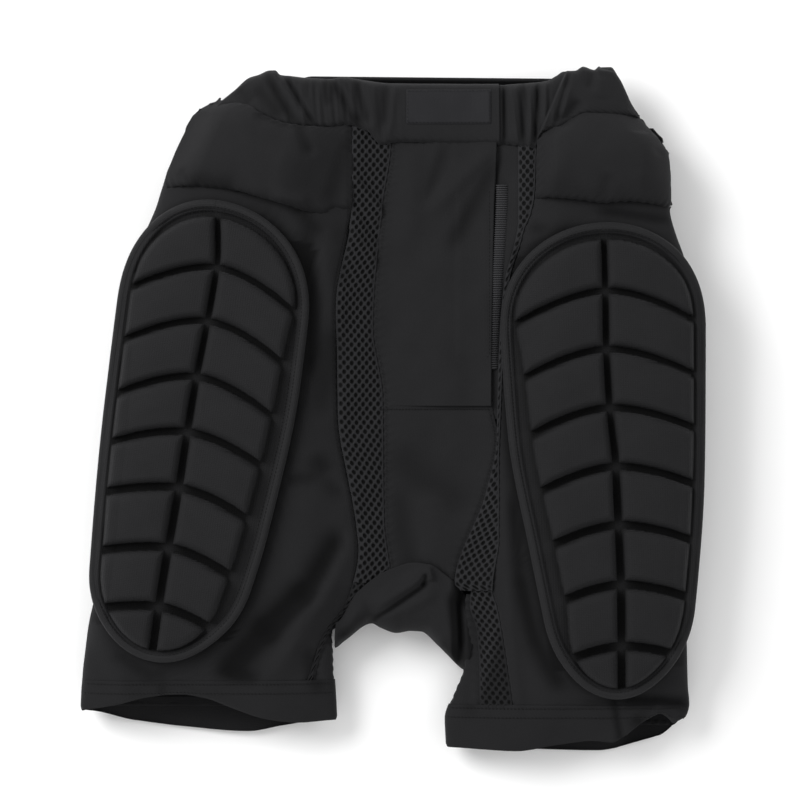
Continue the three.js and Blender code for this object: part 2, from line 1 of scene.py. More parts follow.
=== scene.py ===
import json
import math
import bpy
import numpy as np
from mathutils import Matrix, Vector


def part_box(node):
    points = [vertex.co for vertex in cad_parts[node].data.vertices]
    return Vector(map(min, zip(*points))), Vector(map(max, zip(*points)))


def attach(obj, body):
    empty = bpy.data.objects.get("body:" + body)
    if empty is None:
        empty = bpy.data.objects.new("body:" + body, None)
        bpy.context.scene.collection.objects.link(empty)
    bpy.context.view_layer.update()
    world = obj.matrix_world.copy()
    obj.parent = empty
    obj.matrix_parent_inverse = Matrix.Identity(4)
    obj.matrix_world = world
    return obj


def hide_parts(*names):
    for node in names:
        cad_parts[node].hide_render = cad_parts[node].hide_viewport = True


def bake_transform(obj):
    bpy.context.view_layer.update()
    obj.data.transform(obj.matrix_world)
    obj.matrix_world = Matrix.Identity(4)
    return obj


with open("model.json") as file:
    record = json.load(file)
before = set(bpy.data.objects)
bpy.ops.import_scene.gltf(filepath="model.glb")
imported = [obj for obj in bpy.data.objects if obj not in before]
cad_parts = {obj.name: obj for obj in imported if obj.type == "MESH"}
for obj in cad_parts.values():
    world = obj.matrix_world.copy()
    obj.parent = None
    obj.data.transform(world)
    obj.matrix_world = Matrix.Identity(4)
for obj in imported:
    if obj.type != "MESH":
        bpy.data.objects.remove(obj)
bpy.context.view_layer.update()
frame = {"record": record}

# ---- The floor, the light and the camera ----
# The shorts lie on a plain pale studio table, under big soft lights, seen from straight above.


def linear(hex_colour):
    """sRGB hex to linear RGBA."""
    parts = np.array([int(hex_colour[i : i + 2], 16) for i in (1, 3, 5)]) / 255
    low = parts / 12.92
    return (*np.where(parts <= 0.04045, low, ((parts + 0.055) / 1.055) ** 2.4), 1.0)


def add(tree, kind, settings=None, **inputs):
    """Adds a node. Values go on its sockets, and a socket of another node is linked."""
    made = tree.nodes.new(kind)
    for name, value in (settings or {}).items():
        setattr(made, name, value)
    for name, value in inputs.items():
        numbered = name[0] == "i" and name[1:].isdigit()
        socket = made.inputs[int(name[1:]) if numbered else name.replace("_", " ")]
        if isinstance(value, bpy.types.NodeSocket):
            tree.links.new(value, socket)
        else:
            socket.default_value = value
    return made


def new_material(name):
    """An empty material with its shader and output."""
    made = bpy.data.materials.new(name)
    made.use_nodes = True
    made.node_tree.nodes.clear()
    shader = add(made.node_tree, "ShaderNodeBsdfPrincipled")
    add(made.node_tree, "ShaderNodeOutputMaterial", Surface=shader.outputs[0])
    return made, made.node_tree, shader


def put(mesh_name, corners, faces, material, uv=None):
    """A mesh from arrays of corners in metres and of four-sided faces."""
    mesh = bpy.data.meshes.new(mesh_name)
    mesh.vertices.add(len(corners))
    mesh.vertices.foreach_set("co", np.asarray(corners, np.float32).ravel())
    mesh.loops.add(faces.size)
    mesh.loops.foreach_set("vertex_index", faces.ravel().astype(np.int32))
    mesh.polygons.add(len(faces))
    mesh.polygons.foreach_set("loop_start", np.arange(0, faces.size, 4, dtype=np.int32))
    mesh.update(calc_edges=True)
    mesh.polygons.foreach_set("use_smooth", np.ones(len(faces), bool))
    if uv is not None:
        layer = mesh.uv_layers.new(name="cloth")
        layer.data.foreach_set("uv", uv[faces.ravel()].astype(np.float32).ravel())
    mesh.materials.append(material)
    made = bpy.data.objects.new(mesh_name, mesh)
    bpy.context.scene.collection.objects.link(made)
    return made


table_paint, tree, shader = new_material("white_table_laminate")
grain = add(tree, "ShaderNodeTexNoise", Scale=3.0, Detail=2.0)
pale = add(tree, "ShaderNodeMix", {"data_type": "RGBA"}, Factor=grain.outputs[0])
pale.inputs[6].default_value = linear("#f7f7f7")
pale.inputs[7].default_value = linear("#fbfbfb")
tree.links.new(pale.outputs[2], shader.inputs["Base Color"])
shader.inputs["Roughness"].default_value = 0.9
shader.inputs["Specular IOR Level"].default_value = 0.2
reach = np.linspace(-4, 4, 9)
gx, gy = np.meshgrid(reach, reach)
grid = np.arange(81).reshape(9, 9)
squares = np.stack([grid[:-1, :-1], grid[:-1, 1:], grid[1:, 1:], grid[1:, :-1]], -1).reshape(-1, 4)
put("table_top", np.stack([gx, gy, gx * 0 - 0.0006], -1).reshape(-1, 3), squares, table_paint)

world = bpy.data.worlds.new("studio")
bpy.context.scene.world = world
world.use_nodes = True
world.node_tree.nodes["Background"].inputs[0].default_value = linear("#ffffff")
world.node_tree.nodes["Background"].inputs[1].default_value = 0.58
for name, spot, size, power in (
    ("key", (-1.5, 1.0, 1.5), 1.3, 52),
    ("fill", (1.7, 0.5, 1.5), 1.3, 12),
    ("low", (-0.2, -1.9, 1.2), 1.4, 9),
):
    lamp = bpy.data.lights.new(name, "AREA")
    lamp.size = size
    lamp.energy = power
    stand = bpy.data.objects.new(name, lamp)
    stand.location = spot
    away = -np.array(spot)
    stand.rotation_euler = (
        math.atan2(math.hypot(away[0], away[1]), -away[2]), 0, math.atan2(away[0], -away[1]) + math.pi
    )
    bpy.context.scene.collection.objects.link(stand)
bpy.context.scene.view_settings.view_transform = "Standard"

lens = bpy.data.cameras.new("overhead")
camera = bpy.data.objects.new("overhead", lens)
bpy.context.scene.collection.objects.link(camera)
bpy.context.scene.camera = camera
camera_rise = 2.4
camera.location = (0.0073, 0.0091, camera_rise)
lens.lens = 36 * (camera_rise - 0.045) / 0.576

# ---- How the shorts lie ----
# Two tubes of stretch cloth side by side, held open by the pads, that join above the crotch. Sizes
# are in millimetres, with x towards the wearer's left hip, y from the hems to the waist and z up.


def curve(*knots):
    """A smooth line through (y, value) pairs that never overshoots them: cubic pieces whose slope at
    a knot is the harmonic mean of its neighbours' slopes."""
    y, v = np.array(sorted(knots), float).T
    d = np.diff(v) / np.diff(y)
    slope = np.zeros(len(y))
    both = d[1:] * d[:-1] > 0
    slope[1:-1][both] = 2 * (d[1:] * d[:-1])[both] / (d[1:] + d[:-1])[both]

    def at(q):
        q = np.clip(q, y[0], y[-1])
        i = np.clip(np.searchsorted(y, q) - 1, 0, len(y) - 2)
        h = y[i + 1] - y[i]
        t = (q - y[i]) / h
        near = v[i] * (1 + 2 * t) * (1 - t) ** 2 + slope[i] * h * t * (1 - t) ** 2
        return near + v[i + 1] * t * t * (3 - 2 * t) + slope[i + 1] * h * t * t * (t - 1)

    return at


def smooth(t):
    """0 below 0, 1 above 1 and an S between."""
    t = np.clip(t, 0, 1)
    return t * t * (3 - 2 * t)


def mix(a, b, t):
    return a + (b - a) * t


middle_x = 27.0
side_outer = {
    "right": curve((250, -98), (238, -112), (222, -134), (214, -147), (181, -160), (159, -166), (137, -174),
                   (109, -189), (73, -197), (8, -200), (-64, -207), (-122, -213), (-172, -222), (-222, -226)),
    "left": curve((249, 152), (245, 163), (216, 177), (194, 195), (184, 200), (144, 202), (109, 212),
                  (63, 220), (-51, 220), (-136, 214), (-201, 216), (-213, 217), (-237, 206), (-249, 196)),
}
side_crest = {
    "right": curve((250, -40), (180, -78), (120, -118), (0, -140), (-122, -158), (-236, -150)),
    "left": curve((250, 96), (180, 118), (120, 144), (0, 153), (-122, 160), (-249, 135)),
}
side_inner = {
    "right": curve((-100, 26.4), (-112, 8), (-129, -13), (-148, -34), (-162, -42), (-236, -39)),
    "left": curve((-100, 27.6), (-115, 46), (-128, 54), (-140, 53), (-172, 53.5), (-188, 52), (-204, 46),
                  (-224, 39), (-249, 40)),
}
side_closed = {"right": curve((-112, 0), (-160, 1)), "left": curve((-120, 0), (-186, 1))}
top_side = curve((250, 36), (205, 47), (160, 53), (60, 54), (-120, 50), (-200, 40), (-249, 30))
top_middle = curve((250, 34), (150, 36), (0, 37), (-110, 35), (-170, 32))
underside = curve((250, 7), (185, 12), (150, 15), (10, 15), (-50, 7), (-120, 4), (-249, 2.4))
waistline = curve((250, 19), (150, 33), (0, 31), (-120, 26), (-200, 20), (-249, 14))
ROUND = 3.0


def crown(x, y):
    """Height of the front cloth: low down the middle and high over the thighs."""
    return mix(top_middle(y), top_side(y), smooth((np.abs(x - middle_x) - 25) / 75))


def tube(side, turn, y):
    """A point of one side's tube, whose section is a superellipse. turn is in half circles: 0 at the
    side, 0.5 over the thigh, 1 inside the leg and negative round the back."""
    sign = -1 if side == "right" else 1
    turn, y = np.broadcast_arrays(turn, y)
    c, s = np.cos(turn * np.pi), np.sin(turn * np.pi)
    crest, middle = side_crest[side](y), waistline(y)
    reach = np.where(c >= 0, np.abs(side_outer[side](y) - crest), np.abs(crest - side_inner[side](y)))
    x = crest + sign * reach * np.sign(c) * np.abs(c) ** (2 / ROUND)
    share = np.abs(s) ** (2 / ROUND)
    share = np.where(c >= 0, share, mix(1, share, side_closed[side](y)))
    tall = np.where(s >= 0, crown(x, y) - middle, underside(y) - middle)
    return np.stack([x, y, middle + tall * share], -1)


def turn_at(side, x, y):
    """The turn at which the front of a tube passes under a plan position x."""
    sign = -1 if side == "right" else 1
    crest = side_crest[side](y)
    off = (x - crest) * sign
    reach = np.where(off >= 0, np.abs(side_outer[side](y) - crest), np.abs(crest - side_inner[side](y)))
    share = np.minimum(np.abs(off) / reach, 1) ** (ROUND / 2)
    return np.arccos(np.sign(off) * share) / np.pi


def front_z(x, y):
    """Height of the front cloth at a plan position."""
    x, y = np.broadcast_arrays(x, y)
    heights = [tube(side, turn_at(side, x, y), y)[..., 2] for side in ("right", "left")]
    return np.where(x < middle_x, *heights)


def creases(x, y, folds):
    """Soft ridges and dips: each (x0, y0, x1, y1, half width, height) falls off as a bell from its line
    and fades at both ends."""
    total = np.zeros(np.broadcast(x, y).shape)
    for x0, y0, x1, y1, wide, tall in folds:
        run = np.array([x1 - x0, y1 - y0], float)
        length = np.hypot(*run)
        along = ((x - x0) * run[0] + (y - y0) * run[1]) / length**2
        off = ((x - x0) * run[1] - (y - y0) * run[0]) / length
        fade = smooth(along / 0.35 + 0.5) * smooth((1 - along) / 0.35 + 0.5)
        total = total + tall * fade * np.exp(-((off / wide) ** 2))
    return total


laid_folds = [
    (71, 188, 30, 146, 7, 3.0), (76, 178, 46, 120, 6, -2.4), (16, 186, 12, 120, 9, 1.8),
    (40, 190, 26, 150, 5, -1.6), (16, 60, 50, 10, 14, 1.6), (4, -30, 50, -70, 14, -1.6),
    (30, -60, 34, -110, 10, 1.6), (6, -60, 14, -112, 8, -1.6), (-60, 128, -58, 30, 6, -4.4),
    (-62, 40, -67, 0, 4.5, -2.8), (-46, 118, -42, 60, 7, 2.2), (-40, 60, -50, 0, 8, -1.8),
    (-70, 148, -50, 128, 5, -2.4), (-36, 132, -34, 90, 6, -1.6), (-54, -33, -34, -61, 7, -2.8),
    (-80, -49, -54, -49, 5, -1.8), (-46, -44, -30, -58, 5, 2.2), (-36, -90, -62, -134, 9, -5.2),
    (-60, -130, -92, -160, 10, -6.0), (-88, -156, -118, -188, 11, -5.0), (-28, -88, -46, -131, 7, 3.0),
    (-46, -131, -84, -190, 8, 3.2), (-126, -188, -96, -194, 6, -2.6), (-214, -150, -190, -206, 8, 2.2),
    (-165, -184, -163, -222, 5, -1.6), (-196, -176, -170, -194, 6, -2.4), (-62, -170, -50, -204, 6, -2.2),
    (90, -62, 94, -120, 5, -3.4), (94, -120, 104, -165, 6, -3.8), (104, -165, 124, -200, 7, -3.4),
    (80, -60, 84, -130, 5, 1.8), (84, -130, 92, -215, 5, 2.2), (138, -212, 162, -209, 4, -1.8),
    (161, -206, 168, -246, 2.6, -2.6), (166, -207, 218, -212, 5, -4.0), (176, -222, 196, -236, 6, -3.0),
    (190, -216, 206, -222, 4, 2.4), (92, 118, 88, 66, 4, -2.6), (100, 132, 112, 128, 5, -1.8),
    (150, 143, 200, 136, 4, -2.4), (60, -150, 58, -220, 7, -2.0),
]
low_tone = np.random.default_rng(7)
ripple_ways = low_tone.uniform(0, np.pi, 9)
ripple_steps = low_tone.uniform(17, 48, 9)
ripple_starts = low_tone.uniform(0, 6.28, 9)


def ripples(x, y):
    """Unevenness of laid cloth: nine sine waves in as many directions."""
    total = 0
    for way, step, start in zip(ripple_ways, ripple_steps, ripple_starts):
        total = total + np.sin((x * np.cos(way) + y * np.sin(way)) * 2 * np.pi / step + start)
    return total / 9


tail = np.array(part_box("tailbone_pad")) * 1000
frame_shift = np.array([*((tail[0] + tail[1]) / 2 - (27, 84, 0))[:2], 0.0])


def laid(x, y):
    """Folds and unevenness of the front cloth as it lies."""
    return creases(x, y, laid_folds) + 0.8 * ripples(x, y)


def metres(points):
    """From the sizes above to metres in the shared frame."""
    return (np.asarray(points) + frame_shift) / 1000


def normals(points):
    """Unit normals of a grid of points, columns crossed with rows."""
    across = np.gradient(points, axis=1)
    down = np.gradient(points, axis=0)
    out = np.cross(across, down)
    return out / np.maximum(np.linalg.norm(out, axis=-1, keepdims=True), 1e-9)


def shell(name, outside, inside, material, uv=None):
    """A closed skin between two grids of points: both faces, and a rim round the edge."""
    rows, columns = outside.shape[:2]
    grid = np.arange(rows * columns).reshape(rows, columns)
    count = rows * columns
    face = np.stack([grid[:-1, :-1], grid[:-1, 1:], grid[1:, 1:], grid[1:, :-1]], -1).reshape(-1, 4)
    back = face[:, ::-1] + count
    p = np.concatenate([grid[0, :-1], grid[:-1, -1], grid[-1, :0:-1], grid[:0:-1, 0]])
    q = np.roll(p, -1)
    faces = np.concatenate([face, back, np.stack([q, p, p + count, q + count], -1)])
    if np.sum(normals(outside) * (outside - inside)) < 0:
        faces = faces[:, ::-1]
    if uv is None:
        step = np.linalg.norm(np.diff(outside, axis=1), axis=-1).mean(0)
        fall = np.linalg.norm(np.diff(outside, axis=0), axis=-1).mean(1)
        u = np.concatenate([[0], np.cumsum(step)])
        v = np.concatenate([[0], np.cumsum(fall)])
        uv = np.stack(np.meshgrid(u - u.mean(), v - v.mean()), -1)
    uv = np.tile(uv.reshape(-1, 2), (2, 1)) / 1000
    corners = metres(np.concatenate([outside.reshape(-1, 3), inside.reshape(-1, 3)]))
    return put(name, corners, faces, material, uv)


def edge_distance(points):
    """Distance of each point from the four edges of its grid, along the surface: left, right, top, low."""
    step = np.linalg.norm(np.diff(points, axis=1), axis=-1)
    fall = np.linalg.norm(np.diff(points, axis=0), axis=-1)
    left = np.pad(np.cumsum(step, 1), ((0, 0), (1, 0)))
    top = np.pad(np.cumsum(fall, 0), ((1, 0), (0, 0)))
    return left, left[:, -1:] - left, top, top[-1:] - top


def sewn(name, points, out_sign, thick, material, seams="lrtb", depth=1.0, wide=2.6, pucker=0.35, dark=None):
    """A cloth piece of that thickness whose sewn edges pull in: the face sinks beside each named edge, and
    puckers a little along it. dark is its painted shade, stored as its "painted_shade" value."""
    out = normals(points) * out_sign
    left, right, top, low = edge_distance(points)
    sink = np.zeros(points.shape[:2])
    for letter, far, along in (("l", left, top), ("r", right, top), ("t", top, left), ("b", low, left)):
        if letter in seams:
            sink += depth * np.exp(-((far / wide) ** 2))
            sink += pucker * np.exp(-((far / wide / 2.2) ** 2)) * np.sin(along * 2 * np.pi / 6.5 + far / 3)
    face = points - out * sink[..., None]
    made = shell(name, face, face - out * thick, material)
    if dark is not None:
        store_painted_shade(made, np.tile(dark.ravel(), 2))
    return made


def store_painted_shade(piece, values):
    """Stores the painted shade at each point of a piece: how far its colour is darkened where shade falls."""
    layer = piece.data.attributes.new("painted_shade", "FLOAT", "POINT")
    layer.data.foreach_set("value", np.clip(values, 0, 1).astype(np.float32).ravel())


def hollows(x, y, folds):
    """Painted shade in the valleys among the folds: their depth over five millimetres."""
    return np.clip(-creases(x, y, folds) / 5, 0, 0.8)


def outward(points, core):
    """+1 or -1: which way round a grid's normals have to go to face away from the core points."""
    return 1 if np.sum(normals(points) * (points - core)) > 0 else -1


def facing_up(points):
    """+1 or -1: which way round a grid's normals have to go to face up."""
    return 1 if normals(points)[..., 2].mean() > 0 else -1


def core_of(side, y, shape):
    """The middle line of a tube, spread over a grid of that shape."""
    parts = (side_crest[side](y), y, waistline(y))
    return np.stack([np.broadcast_to(part, shape) for part in parts], -1)


def laid_patch(left, right, top, low, columns, rows, lift=0.0, folds=1.0):
    """A front piece in plan: u runs between two lines up the garment and v from top to bottom."""
    u, v = np.meshgrid(np.linspace(0, 1, columns), np.linspace(0, 1, rows))
    y = mix(top(u) if callable(top) else top, low(u) if callable(low) else low, v)
    x = mix(left(y), right(y), u)
    z = front_z(x, y) + lift + folds * laid(x, y)
    return np.stack([x, y, z], -1)


# The joints from the record, and the point and axis of the hinge where the fly flap peels back.
record = frame["record"]
hinges = {j["name"]: j for j in record["behaviour"]["joints"]}
flap_at = np.array(hinges["fly_flap_open"]["pos_m"])
flap_way = np.array(hinges["fly_flap_open"]["axis"])
seams_right = curve((205, -28), (150, -28), (75, -39), (0, -38), (-80, -25), (-100, -23), (-136, -31),
                    (-165, -50), (-194, -60), (-236, -76))
seams_left = curve((203, 107), (192, 104.5), (158, 103.2), (141, 99.8), (131, 95.5), (119, 92.5), (95, 85.5),
                   (60, 81.5), (0, 79), (-40, 77.6), (-93, 77.5), (-122, 73.5), (-130, 73), (-142, 76.4),
                   (-170, 81.4), (-189, 84.2), (-216, 88), (-249, 92.5))
seam_beside = {"right": seams_right, "left": seams_left}
panel_right = curve((195, 0), (150, -6), (60, -13), (10, -6), (-80, -5), (-125, 0))
panel_left = curve((4, 73), (-20, 77), (-60, 68), (-125, 47))
fly_edge = curve((195, 76), (150, 74), (4, 72))


def knit(name, base, pitch, bump, sheen=0.06, rough=0.82):
    """A jersey: fine wales across the piece's own UV, uneven dye, and a short pile that catches light. Its
    base colour carries painted shade: it is darker where the piece's "painted_shade" value is high, in folds
    and grooves."""
    made, tree, shader = new_material(name)
    place = add(tree, "ShaderNodeUVMap", {"uv_map": "cloth"}).outputs[0]
    wales = add(tree, "ShaderNodeTexWave", {"wave_type": "BANDS", "bands_direction": "X"}, Vector=place,
                Scale=1 / pitch / 20 * 2 * math.pi, Distortion=0.6, Detail=1.0)
    courses = add(tree, "ShaderNodeTexWave", {"wave_type": "BANDS", "bands_direction": "Y"}, Vector=place,
                  Scale=1 / pitch / 20 * 2 * math.pi * 1.3, Distortion=0.8, Detail=1.0)
    loops = add(tree, "ShaderNodeMath", {"operation": "MULTIPLY"}, i0=wales.outputs[1], i1=courses.outputs[1])
    cloudy = add(tree, "ShaderNodeTexNoise", Vector=place, Scale=38.0, Detail=4.0, Roughness=0.6)
    fibres = add(tree, "ShaderNodeTexNoise", Vector=place, Scale=900.0, Detail=3.0)
    tone = add(tree, "ShaderNodeMath", {"operation": "MULTIPLY_ADD"}, i0=cloudy.outputs[0], i1=0.5, i2=0.25)
    tone = add(tree, "ShaderNodeMath", {"operation": "MULTIPLY_ADD"}, i0=loops.outputs[0], i1=0.35,
               i2=tone.outputs[0])
    colour = add(tree, "ShaderNodeMix", {"data_type": "RGBA"}, Factor=tone.outputs[0])
    shade = np.array(linear(base))
    colour.inputs[6].default_value = (*(shade[:3] * 0.72), 1)
    colour.inputs[7].default_value = (*(shade[:3] * 1.3), 1)
    # Painted shade: where the painted_shade value rises, the base colour falls towards 0.14 of its tone.
    flat = add(tree, "ShaderNodeAttribute", {"attribute_name": "painted_shade"})
    deep = add(tree, "ShaderNodeMix", {"data_type": "RGBA"}, Factor=flat.outputs["Fac"])
    tree.links.new(colour.outputs[2], deep.inputs[6])
    deep.inputs[7].default_value = (*(shade[:3] * 0.14), 1)
    tree.links.new(deep.outputs[2], shader.inputs["Base Color"])
    height = add(tree, "ShaderNodeMath", {"operation": "MULTIPLY_ADD"}, i0=loops.outputs[0], i1=0.6,
                 i2=fibres.outputs[0])
    relief = add(tree, "ShaderNodeBump", Height=height.outputs[0], Strength=bump, Distance=0.0004)
    tree.links.new(relief.outputs[0], shader.inputs["Normal"])
    shader.inputs["Roughness"].default_value = rough
    shader.inputs["Specular IOR Level"].default_value = 0.08
    shader.inputs["Sheen Weight"].default_value = sheen
    shader.inputs["Sheen Roughness"].default_value = 0.5
    shader.inputs["Sheen Tint"].default_value = linear("#c8c8cc")
    return made


# ---- Thigh pads ----
# Each is a sheet of EVA foam with a jersey face, pressed hot into two columns of blocks with grooves
# between them so that it bends round the thigh. A plastic board backs it, and a tape binds the edge.
pad_shapes = {
    "right": dict(
        top=(-124.6, 149.8), low=(-169.2, -179.3),
        left=curve((0, 61), (148, 60.5), (280, 55), (332, 50)),
        right=curve((0, 74), (123, 75.5), (229, 67), (294, 56), (332, 48)),
        rows=(46.6, 85.6, 126, 166, 206.5, 250, 293), inner=1,
        bow=curve((0, 1.5), (46, 6.4), (86, 5), (127, 2.6), (207, 0.4), (292, -2.5), (332, -3)),
        droop=(curve((46, 17), (126, 17), (206, 9.5), (293, 9.5)),
               curve((46, 18), (126, 16.5), (166, 14.3), (293, 16))),
    ),
    "left": dict(
        top=(151.9, 133.9), low=(164.2, -206.6),
        left=curve((0, 76), (66, 75), (148, 72), (235, 59), (297, 49), (340, 44)),
        right=curve((0, 74), (74, 71), (187, 66), (273, 57), (321, 48), (340, 44)),
        rows=(47.8, 89.5, 131.5, 173.8, 215.8, 258.5, 303), inner=-1,
        bow=curve((0, 0), (48, -0.3), (90, -1.2), (131, -0.2), (174, 2.6), (258, 3.5), (303, 2.7), (340, 2)),
        droop=(curve((47, 14), (303, 13.6)), curve((47, 15.5), (131, 12.6), (303, 12))),
    ),
}
rim_outer = curve((0, 13), (50, 9.4), (280, 9), (335, 8))
rim_inner = curve((0, 13), (55, 9.6), (95, 14), (150, 16.5), (270, 18), (318, 9.5), (340, 8))
BLOCK_RISE = 9.4
halves = ("upper", "lower")


def dents(q, groove):
    """How far inside a block a point is: the soft minimum of its distances from each of its sides."""
    q = [np.maximum(part - groove, 1e-3) for part in q]
    return sum(part**-3.0 for part in q) ** (-1 / 3)


def lie_under(side, x, y):
    """The foam's own bend: it follows the thigh but is too stiff to turn down its side."""
    edge = side_outer[side](y)
    inward = 1 if side == "right" else -1
    kept = np.maximum((x - edge) * inward, 13) * inward + edge
    over = np.maximum(13 - (x - edge) * inward, 0)
    return front_z(kept, y) + 2.4 - 0.028 * over**2


def pad_grid(side):
    """Grid of a pad in its own lengthwise s and sideways w, with ellipse ends. Its lines crowd together
    along the grooves and the rim, and bend with the rows of blocks."""
    p = pad_shapes[side]
    start, end = np.array(p["top"]), np.array(p["low"])
    long = np.hypot(*(end - start))
    way = (end - start) / long
    off = np.array([-way[1], way[0]]) * (1 if -way[1] > 0 else -1)

    def half(s, which):
        top_end = np.sqrt(1 - np.clip(1 - s / 80, 0, 1) ** 2.3)
        low_end = np.sqrt(1 - np.clip(1 - (long - s) / 62, 0, 1) ** 2.3)
        return p[which](s) * (top_end * low_end)

    close = [np.linspace(row - 8, row + 8, 21) for row in p["rows"]]
    ends = [long * (1 - np.cos(np.linspace(0, 0.34, 26))), long * np.cos(np.linspace(0, 0.34, 26))]
    s = np.unique(np.round(np.concatenate([*close, *ends, np.arange(8, long - 8, 2.3)]), 1))
    s = s[np.concatenate([[True], np.diff(s) > 0.25])]
    s[-1] = long
    a = np.concatenate([np.linspace(0, 0.13, 12), np.linspace(0.13, 0.66, 20)[1:],
                        np.linspace(0.66, 1, 26)[1:]])
    a = np.concatenate([-a[:0:-1], a])[None, :]
    s = s[:, None]
    across = np.where(a < 0, mix(p["bow"](s), -half(s, "left"), -a), mix(p["bow"](s), half(s, "right"), a))
    bend = smooth((s - 14) / 24) * smooth((long - 10 - s) / 22)
    s = s + row_droop(p, s, across * np.abs(a)) * bend * (1 - np.abs(a) ** 10)
    w = np.where(a < 0, mix(p["bow"](s), -half(s, "left"), -a), mix(p["bow"](s), half(s, "right"), a))
    ring = long * (1 - np.cos(np.linspace(0, np.pi, 260))) / 2
    rim = np.concatenate([np.stack([ring, half(ring, "right")], -1),
                          np.stack([ring, -half(ring, "left")], -1)[::-1][1:-1]])
    return p, start, way, off, s, w, rim


def beside_pad(side, x, y):
    """Distance of a plan position outside a pad's edge, in millimetres, and 0 under the pad."""
    p, start, way, off, _, _, rim = pad_grid(side)
    s = (x - start[0]) * way[0] + (y - start[1]) * way[1]
    w = (x - start[0]) * off[0] + (y - start[1]) * off[1]
    long = rim[:, 0].max()
    over = np.where(w < 0, p["left"](s), p["right"](s)) > np.abs(w)
    return np.where(over & (s > 20) & (s < long - 20), 0, nearest(s, w, rim[::3]))


def row_droop(p, s, w):
    """How far a row of blocks runs down towards its ends: a power of the distance from the middle groove."""
    return np.where(w < 0, p["droop"][0](s), p["droop"][1](s)) * (np.abs(w) / 50) ** 1.7


def nearest(s, w, rim):
    """Distance of each point from the outline."""
    flat = np.stack([s.ravel(), w.ravel()], -1)
    nxt = np.roll(rim, -1, 0)
    run = nxt - rim
    size = np.maximum((run**2).sum(1), 1e-9)
    best = np.full(len(flat), 1e9)
    for k in range(0, len(flat), 6000):
        rel = flat[k : k + 6000, None] - rim
        along = np.clip((rel * run).sum(-1) / size, 0, 1)
        best[k : k + 6000] = np.sqrt(((rel - along[..., None] * run) ** 2).sum(-1)).min(1)
    return best.reshape(s.shape)


pad_face = knit("moulded_foam_jersey_face", "#1d1d1e", 0.0017, 0.9, sheen=0.07, rough=0.78)
tape_cloth = knit("woven_binding_tape", "#1f1f20", 0.0012, 0.9, rough=0.6)
thread, tree, shader = new_material("black_polyester_thread")
twist = add(tree, "ShaderNodeTexWave", {"wave_type": "BANDS"}, Scale=900.0, Distortion=1.0,
            Vector=add(tree, "ShaderNodeTexCoord").outputs["Object"])
ramp = add(tree, "ShaderNodeMix", {"data_type": "RGBA"}, Factor=twist.outputs[1])
ramp.inputs[6].default_value = linear("#050506")
ramp.inputs[7].default_value = linear("#0e0e0f")
tree.links.new(ramp.outputs[2], shader.inputs["Base Color"])
shader.inputs["Roughness"].default_value = 0.6
shader.inputs["Specular IOR Level"].default_value = 0.2


def swept(name, spine, out, up, profile, material, closed=True):
    """A profile of (out, up) pairs carried along a line of points, closed round it and, if it is a ring,
    end to end."""
    points = spine[:, None] + out[:, None] * profile[None, :, 0:1] + up[:, None] * profile[None, :, 1:2]
    n, m = points.shape[:2]
    grid = np.arange(n * m).reshape(n, m)
    nxt = np.roll(grid, -1, 0) if closed else grid[1:]
    here = grid if closed else grid[:-1]
    faces = np.stack([here, np.roll(here, -1, 1), np.roll(nxt, -1, 1), nxt], -1).reshape(-1, 4)
    centre = points.mean(1)
    a, b, c = points[0, 0], points[0, 1 % m], points[1, 0]
    if np.dot(np.cross(b - a, c - a), a - centre[0]) < 0:
        faces = faces[:, ::-1]
    walk = np.concatenate([[0], np.cumsum(np.linalg.norm(np.diff(spine, axis=0), axis=1))])
    turn = np.concatenate([[0], np.cumsum(np.linalg.norm(np.diff(profile, axis=0), axis=1))])
    uv = np.stack(np.meshgrid(turn, walk), -1).reshape(-1, 2) / 1000
    if closed is False:
        caps = []
        for end in (grid[0], grid[-1][::-1]):
            half = m // 2
            opposite = end[::-1]
            caps.append(np.stack([end[: half - 1], end[1:half], opposite[1:half], opposite[: half - 1]], -1))
        a, b, c = (points.reshape(-1, 3)[caps[0][0][k]] for k in range(3))
        if np.dot(np.cross(b - a, c - a), spine[0] - spine[1]) < 0:
            caps = [cap[:, ::-1] for cap in caps]
        faces = np.concatenate([faces, *caps])
    return put(name, metres(points.reshape(-1, 3)), faces, material, uv)


